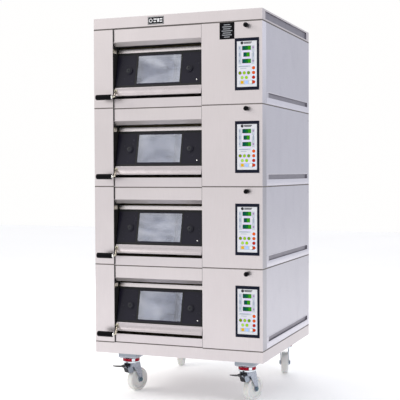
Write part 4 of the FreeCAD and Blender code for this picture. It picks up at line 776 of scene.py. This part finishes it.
def make_displays():
    """Lit digit cells with seven-segment eights, each display in a dark window rim."""
    lights = Build(Matrix())
    for deck in DECKS:
        lights.place = on_deck(deck)
        for down, digits in DISPLAYS:
            width = DISPLAY_WIDTHS[digits]
            left = PANEL_LEFT + DISPLAY_MIDDLE - width / 2
            right = left + width
            top = PANEL_TOP - down + DISPLAY_HEIGHT / 2
            low = top - DISPLAY_HEIGHT
            outer = rounded(left - RIM_OVERLAP, low - RIM_OVERLAP,
                            right + RIM_OVERLAP, top + RIM_OVERLAP, 2.0)
            inner = rounded(left + RIM, low + RIM, right - RIM, top - RIM, 1.5)
            lights.paint = GLASS
            lights.frame(outer, inner, PANEL_SKIN + 0.05, PANEL_SKIN - 0.45)
            cell = (width - 2 * RIM) / digits
            for index, tone in enumerate(DISPLAY_TONES[digits]):
                start = left + RIM + index * cell
                outline = rounded(start + 0.1, low + RIM, start + cell - 0.1, top - RIM, 0.5, 1)
                lights.paint = tone
                lights.prism(outline, PANEL_SKIN + 0.02, PANEL_SKIN - LIT_DEPTH)
                lights.paint = SEGMENT
                make_digit(lights, start + cell / 2, top - DISPLAY_HEIGHT / 2)
    lights.piece("display_lights", "oven_body", LED_FINISHES)


def make_digit(lights, x, z):
    """A seven-segment eight: three level bars and four upright ones."""
    bars = [(0.0, height, 2.6, 0.55) for height in (-6.0, 0.0, 6.0)]
    bars += [(side, height, 0.55, 2.3) for side in (-3.4, 3.4) for height in (-3.0, 3.0)]
    face = PANEL_SKIN - 0.1
    for across, up, half_width, half_height in bars:
        middle, level = x + across, z + up
        outline = rounded(middle - half_width, level - half_height, middle + half_width, level + half_height,
                          0.5, 1)
        lights.prism(outline, face, face - LIT_DEPTH)


PRINT_FINISHES = [
    plain("print_grey", srgb(0.72, 0.75, 0.79), (0.3, 0.4), tone=0.03),
    plain("print_lavender", srgb(0.84, 0.79, 0.95), (0.3, 0.4), tone=0.03),
    plain("print_dark", srgb(0.05, 0.05, 0.07), (0.3, 0.4), tone=0.1),
    plain("print_slate", srgb(0.58, 0.61, 0.68), (0.3, 0.4), tone=0.03),
    plain("print_plum", srgb(0.62, 0.47, 0.66), (0.3, 0.4), tone=0.05),
    plain("print_sky", srgb(0.80, 0.89, 0.97), (0.3, 0.4), tone=0.03),
]
GREY, LAVENDER, DARK, SLATE, PLUM, SKY = range(6)


# Printed areas and, over them, captions and a mark as plain shapes. Each has a tone, its left, top, right and
# bottom edges on the panel, and its corner radius.
PRINT_AREAS = [
    (GREY, 20, 40, 36, 135, 2), (GREY, 91, 40, 106, 74, 2), (GREY, 91, 78, 106, 135, 2),
    (LAVENDER, 38, 66, 89, 71, 2.4), (LAVENDER, 38, 100, 89, 105, 2.4), (LAVENDER, 38, 133, 89, 138, 2.4),
    (SKY, 92, 143, 112, 240, 4), (LAVENDER, 18, 168, 84, 190, 8), (LAVENDER, 28, 192, 76, 214, 8),
    (GREY, 20, 142, 84, 150, 1), (GREY, 24, 217, 98, 238, 3),
]
PRINT_BARS = [
    (SLATE, 22, 76, 30, 94, 1), (SLATE, 22, 46, 28, 58, 1), (SLATE, 22, 112, 28, 124, 1),
    (SLATE, 97, 72, 102, 98, 1), (SLATE, 24, 144, 70, 147, 0.8), (PLUM, 95, 46, 103, 56, 1),
    (PLUM, 95, 114, 103, 124, 1), (SLATE, 30, 155, 62, 157.5, 0.6),
    (DARK, 49, 21, 92, 25.4, 1.5), (DARK, 49, 27, 88, 30.6, 1.5), (DARK, 31, 18, 47, 34, 8),
]
AREA_HEIGHT, BAR_HEIGHT = 0.06, 0.12


def make_overlay_print():
    """Screen-printed areas of the membrane, and the plain bars that stand for its captions."""
    ink = Build(Matrix())
    for deck in DECKS:
        ink.place = on_deck(deck)
        for height, shapes in ((AREA_HEIGHT, PRINT_AREAS), (BAR_HEIGHT, PRINT_BARS)):
            for tone, left, top, right, bottom, radius in shapes:
                ink.paint = tone
                outline = rounded(PANEL_LEFT + left, PANEL_TOP - bottom, PANEL_LEFT + right, PANEL_TOP - top,
                                  radius, 3)
                ink.prism(outline, PANEL_SKIN + 0.02, PANEL_SKIN - height)
    ink.piece("overlay_print", "oven_body", PRINT_FINISHES)


# Corners of the two plates on their decks, and the shapes on them, from that corner.
BADGE_LEFT, BADGE_LOW = 323.0, 11.5
BADGE_BLOCKS = ((34, 52, 24, 31), (34, 48, 12, 18), (55, 66, 12, 31), (69, 84, 24, 31), (69, 84, 12, 18))
RATING_LEFT, RATING_LOW = 729.0, 336.0
RATING_ROWS = ((24, 58), (16, 66), (20, 60), (12, 70), (18, 62), (14, 68), (24, 56))
ROW_TOP, ROW_PITCH, ROW_HEIGHT = 72.0, 10.5, 4.2
MARK_BACK, MARK_FRONT = -1.46, -1.62


def make_plate_marks():
    """Plain bars and shapes in place of the lettering on the badge and the rating plate."""
    marks = Build(on_deck(len(DECKS)))

    def on_badge(left, low, right, high, radius, steps=4):
        return rounded(BADGE_LEFT + left, BADGE_LOW + low,
                       BADGE_LEFT + right, BADGE_LOW + high, radius, steps)

    marks.frame(on_badge(2, 2, 90, 40, 2), on_badge(3.4, 3.4, 88.6, 38.6, 1.4), MARK_BACK, MARK_FRONT)
    ring = [(MARK_BACK, 10.5), (MARK_FRONT, 10.5), (MARK_FRONT, 6.5), (MARK_BACK, 6.5)]
    marks.lathe(ring, (BADGE_LEFT + 18, 0, BADGE_LOW + 21), "y")
    for left, right, low, high in BADGE_BLOCKS:
        marks.prism(on_badge(left, low, right, high, 1.6, 2), MARK_BACK, MARK_FRONT)
    marks.place = on_deck(DECKS[-1])
    marks.paint = 1
    for row, (left, right) in enumerate(RATING_ROWS):
        low = RATING_LOW + ROW_TOP - row * ROW_PITCH
        outline = rounded(RATING_LEFT + left, low, RATING_LEFT + right, low + ROW_HEIGHT, 1.2, 2)
        marks.prism(outline, MARK_BACK, MARK_FRONT)
    marks.piece("plate_marks", "oven_body", [MARK_WHITE, MARK_GREY])


def make_knob_neck(number):
    """Black sleeve between the ball knob and its collar."""
    neck = Build(on_deck(number - 1))
    profile = [(-2.6, 8.0), (-2.6, 10.6), (-4.0, 11.2), (-15.0, 11.2), (-18.0, 10.0)]
    neck.lathe(profile, DAMPER_PLACE, "y", 36)
    neck.piece("knob_neck_%d" % number, "damper_%d" % number, [MATERIALS["black_knob"]])


for number in DECK_NUMBERS:
    make_knob_neck(number)
make_keys()
make_displays()
make_overlay_print()
make_plate_marks()

# ---------------------------------------------------------------- side details

# Outline and heights of the near-black painted shade strips in the jambs, and how far back they reach.
STRIP_OUTLINE = [(2.5, 50.0), (91.0, 50.0), (91.0, 332.0), (31.0, 332.0), (5.0, 353.5), (2.5, 353.5)]
GAP_SHADE_HEIGHTS = ((1.5, 48.0), (355.0, 422.0))
BRACKET_HEAD = ((2.6, 5.0), (3.8, 4.6), (4.2, 3.2), (4.2, 0.2))
GAP_SHADE_BACK = RECESS + 0.2

# Half heights of the dark seam strips, painted shade, on the plinth and between the decks, and how the part over
# the door differs.
PLINTH_SHADE_HALF = 2.9
DECK_SHADE_HALF = 3.0
HEM_DROP = 4.0
PLINTH_RISE = 1.8
SHADE_SUNK, SHADE_PROUD = 1.0, 0.25
SHADE_END = 0.6


def make_jamb_shade_strips():
    """Near-black strips inside the jambs beside each door and beside the header and lower fascia: painted shade in
    the jambs and the gaps at the header's ends.
    """
    strips = Build(Matrix())
    gap_shades = ((OPENING_LEFT - 0.1, OPENING_LEFT + 4.8, 0.6), (OPENING_RIGHT - 2.6, OPENING_RIGHT + 0.1, 3.0))
    for deck in DECKS:
        strips.place = on_deck(deck)
        for inner, out in ((OPENING_LEFT, 0.5), (OPENING_RIGHT, -0.5)):
            strips.prism(STRIP_OUTLINE, inner - 0.1 * out, inner + out, "x")
        for low, high in GAP_SHADE_HEIGHTS:
            for left, right, front in gap_shades:
                strips.prism(rounded(left, low, right, high, 0.3, 1), front, GAP_SHADE_BACK)
    strips.piece("jamb_shade_strips", "oven_body", [SHADE_BLACK])


def make_jamb_brackets():
    """Bright hinge brackets near the front of the jambs."""
    brackets = Build(Matrix())
    for deck in DECKS:
        brackets.place = on_deck(deck)
        for inner, out in ((OPENING_LEFT, 1), (OPENING_RIGHT, -1)):
            brackets.prism(rounded(5.0, 296.0, 40.0, 322.0, 3.0), inner + 0.3 * out, inner + 2.8 * out, "x")
            profile = [(along * out, radius) for along, radius in BRACKET_HEAD]
            brackets.lathe(profile, (inner, 16.0, 309.0), "x", 20)
    brackets.piece("jamb_brackets", "oven_body", [MATERIALS["polished_steel"]], bevel=0.3)


def make_seam_shades():
    """Dark strips over the joints between the decks, under the cap and on the plinth, as painted shade in the
    seams, and the fascia hems.
    """
    shades = Build(Matrix())
    hems = Build(Matrix())
    left, right = OPENING_LEFT + 1.0, OPENING_RIGHT - 1.0
    beside_door = ((SHADE_END, OPENING_LEFT - 0.4), (OPENING_RIGHT + 0.5, BODY_WIDTH - SHADE_END))
    on_sides = ((-SHADE_PROUD, SHADE_SUNK), (BODY_WIDTH - SHADE_SUNK, BODY_WIDTH + SHADE_PROUD))
    for joint in range(len(DECKS) + 1):
        shades.place = on_deck(joint)
        half = PLINTH_SHADE_HALF if joint == 0 else DECK_SHADE_HALF
        drop = HEM_DROP if 0 < joint < len(DECKS) else 0.0
        rise = PLINTH_RISE if joint == 0 else 0.0
        for start, end in beside_door:
            shades.prism(rounded(start, -half, end, half, 0.4, 1), -SHADE_PROUD, SHADE_SUNK)
        shades.prism(rounded(left, -half - drop, right, half - drop + rise, 0.4, 1),
                      RECESS - SHADE_PROUD, RECESS + SHADE_SUNK)
        if drop:
            hems.place = shades.place
            hems.prism(rounded(left, half - drop, right, half + 1.0, 0.4, 1), RECESS - 0.9, RECESS + 0.1)
        for start, end in on_sides:
            shades.prism(rounded(1.0, -half, BODY_DEPTH - 1.0, half, 0.4, 1), start, end, "x")
    shades.piece("seam_shade_strips", "oven_body", [SEAM_SHADE])
    hems.piece("fascia_hems", "oven_body", [MATERIALS["stainless_panel"]], bevel=0.2)


def make_side_hems():
    """Folded hem under each side slot and a rolled lip above it; the hem carries a painted highlight as a lighter
    copy of the side steel.
    """
    hems = Build(Matrix())
    start, end = CORNER_WRAP + 3.0, BODY_DEPTH - 3.0
    for deck in DECKS:
        hems.place = on_deck(deck)
        for side, out in ((0.0, -1.0), (BODY_WIDTH, 1.0)):
            # The lower hem takes the painted highlight, the upper lip the side steel.
            for low, high, proud, paint in ((5.5, 36.0, 0.9, 1), (63.0, 68.0, 1.2, 0)):
                hems.paint = paint
                shape = ((-0.3, low - 0.3), (0.6 * proud, low + 0.5), (proud, low + 1.6),
                         (proud, high - 1.6), (0.6 * proud, high - 0.5), (-0.3, high + 0.3))
                section = [(side + step * out, z) for step, z in shape]
                hems.loft([[hems.point(x, z, y, "y") for x, z in section] for y in (start, end)])
    hems.piece("side_hems", "oven_body", [MATERIALS["stainless_side"], HEM_PAINTED_HIGHLIGHT])


make_jamb_shade_strips()
make_jamb_brackets()
make_seam_shades()
make_side_hems()

# ---------------------------------------------------------------- casters

# Places on a caster, in millimetres along its trail, across it and up from the floor.
PLATE_BOTTOM = 201.0
FORK_TOP = 177.0
AXLE = (48.0, 0.0, 65.0)
FORK_HALF = 26.0
PIVOT = (-20.0, 0.0, 150.0)
PLATE_HALF = 53.0
NOTCH_TURN = 310.0

# Half width, corner radius and height of each ring of the skirt.
SKIRT_RINGS = [
    (PLATE_HALF, 4.0, PLATE_BOTTOM + 0.3), (PLATE_HALF + 0.5, 4.5, PLATE_BOTTOM - 1.2),
    (50.0, 44.0, 195.0), (48.6, 48.5, 192.5),
]
CROWN = [
    (0.4, 20.0), (0.4, 45.5), (-1.0, 47.0), (-5.0, 47.4), (-8.2, 46.6), (-9.6, 44.5), (-9.6, 20.0),
]

# Profiles outward from a fork cheek: distance and radius.
AXLE_WASHER = ((0.0, 15.5), (1.5, 15.5), (1.5, 6.0))
PIVOT_HEAD = ((0.0, 9.0), (2.2, 9.0), (3.4, 7.6), (3.8, 0.2))
AXLE_NUT = ((1.4, 12.6), (5.4, 12.6), (6.4, 11.4))


def make_plate_skirt(number):
    """Pressed skirt that narrows from the square plate to the lock ring, and the tab in the ring's notch."""
    swivel = Vector(JOINTS["caster_%d_swivel" % number]["pos_m"])
    upright = Matrix.Translation((swivel.x, swivel.y, 0))
    skirt = Build(upright @ Matrix.Scale(MM, 4))
    rings = []
    for half, radius, height in SKIRT_RINGS:
        outline = rounded(-half, -half, half, half, radius, 7)
        rings.append([skirt.point(u, v, height, "z") for u, v in outline])
    skirt.loft(rings)
    skirt.piece("caster_skirt_%d" % number, "oven_body", [MATERIALS["zinc_steel"]], bevel=0.3)
    tab = Build(upright @ Matrix.Rotation(math.radians(NOTCH_TURN), 4, "Z") @ Matrix.Scale(MM, 4))
    tab.prism(rounded(36.0, -9.5, 49.0, 9.5, 2.5, 3), 178.6, 192.6, "z")
    tab.piece("ring_tab_%d" % number, "oven_body", [BRIGHT_ZINC], bevel=0.5)


def make_fork_details(number):
    """Crown of the fork, washers and six-sided axle nuts, and heads on the brake pin."""
    crown = Build(on_caster(number))
    crown.lathe(CROWN, (0, 0, FORK_TOP), "z", 56)
    crown.piece("fork_crown_%d" % number, "caster_%d" % number, [BRIGHT_ZINC])
    washers = Build(on_caster(number))
    nuts = Build(on_caster(number))
    for side in (-1, 1):
        for build, profile, centre, steps in (
            (washers, AXLE_WASHER, AXLE, 32), (washers, PIVOT_HEAD, PIVOT, 28), (nuts, AXLE_NUT, AXLE, 6),
        ):
            build.lathe([((FORK_HALF + out) * side, radius) for out, radius in profile], centre, "y", steps)
    washers.piece("fork_washers_%d" % number, "caster_%d" % number, [MATERIALS["zinc_steel"]])
    nuts.piece("axle_nuts_%d" % number, "caster_%d" % number, [DARK_ZINC], bevel=0.4)


for number in CASTERS:
    make_plate_skirt(number)
    make_fork_details(number)

# ---------------------------------------------------------------- floor, light, camera

def make_floor():
    """Pale studio floor with a slightly uneven surface."""
    sheet = bmesh.new()
    bmesh.ops.create_grid(sheet, x_segments=24, y_segments=24, size=14.0)
    mesh = bpy.data.meshes.new("studio_floor")
    sheet.to_mesh(mesh)
    sheet.free()
    floor = bpy.data.objects.new("studio_floor", mesh)
    bpy.context.scene.collection.objects.link(floor)
    made = Finish("studio_floor_paint", Roughness=0.7, Specular_IOR_Level=0.2, Emission_Strength=0.15)
    made.set("Emission Color", (1, 1, 1, 1))
    cloud = made.span(made.noise(0.6, detail=3.0), 0, 1)
    made.set("Base Color", made.mix(cloud, (0.90, 0.90, 0.90), (0.93, 0.93, 0.93)))
    mesh.materials.append(made.material)


def make_world():
    """Near-white studio that is a little dimmer and bluer towards the right."""
    world = bpy.data.worlds.new("studio")
    world.use_nodes = True
    bpy.context.scene.world = world
    tree = world.node_tree
    direction = tree.nodes.new("ShaderNodeTexCoord").outputs["Generated"]
    parts = tree.nodes.new("ShaderNodeSeparateXYZ")
    tree.links.new(direction, parts.inputs[0])
    ramp = tree.nodes.new("ShaderNodeValToRGB")
    ramp.color_ramp.elements[0].position = 0.45
    ramp.color_ramp.elements[0].color = (1.0, 0.995, 0.99, 1)
    ramp.color_ramp.elements[1].position = 0.78
    ramp.color_ramp.elements[1].color = (0.66, 0.68, 0.76, 1)
    shift = tree.nodes.new("ShaderNodeMapRange")
    shift.inputs["From Min"].default_value = -1.0
    shift.inputs["From Max"].default_value = 1.0
    tree.links.new(parts.outputs["X"], shift.inputs["Value"])
    tree.links.new(shift.outputs["Result"], ramp.inputs["Fac"])
    background = tree.nodes["Background"]
    tree.links.new(ramp.outputs["Color"], background.inputs["Color"])
    background.inputs["Strength"].default_value = 1.0


def make_light(name, at, target, size, power, colour):
    """A rectangular lamp at a place, turned towards its target; power is in watts."""
    data = bpy.data.lights.new(name, "AREA")
    data.shape = "RECTANGLE"
    data.size, data.size_y = size
    data.energy = power
    data.color = colour
    light = bpy.data.objects.new(name, data)
    light.location = at
    light.rotation_euler = (Vector(target) - Vector(at)).to_track_quat("-Z", "Y").to_euler()
    bpy.context.scene.collection.objects.link(light)


LENS = 84.55
CAMERA_PLACE = (1.908, FRONT - 4.5946, 1.2303)
CAMERA_TURN, CAMERA_DOWN, CAMERA_ROLL = 21.08, 1.70, -0.22


def make_camera():
    """The camera, in front and to the right, looking slightly down; its angles are in degrees."""
    data = bpy.data.cameras.new("camera")
    data.lens = LENS
    data.sensor_width = 36.0
    camera = bpy.data.objects.new("camera", data)
    turn = Matrix.Rotation(math.radians(CAMERA_TURN), 4, "Z")
    tilt = Matrix.Rotation(math.radians(90 - CAMERA_DOWN), 4, "X")
    roll = Matrix.Rotation(math.radians(CAMERA_ROLL), 4, "Z")
    camera.matrix_world = Matrix.Translation(CAMERA_PLACE) @ turn @ tilt @ roll
    bpy.context.scene.collection.objects.link(camera)
    bpy.context.scene.camera = camera


make_floor()
make_world()
MIDDLE = (0.0, 0.0, 1.0)
make_light("key", (-5.2, -3.0, 4.6), MIDDLE, (2.6, 2.6), 170, (1.0, 0.97, 0.94))
make_light("fill", (4.2, -1.6, 2.6), MIDDLE, (1.6, 2.4), 35, (0.93, 0.96, 1.0))
make_light("back", (-1.5, 4.6, 3.6), MIDDLE, (2.5, 2.0), 60, (1.0, 1.0, 1.0))
make_camera()
bpy.context.scene.view_settings.view_transform = "Standard"
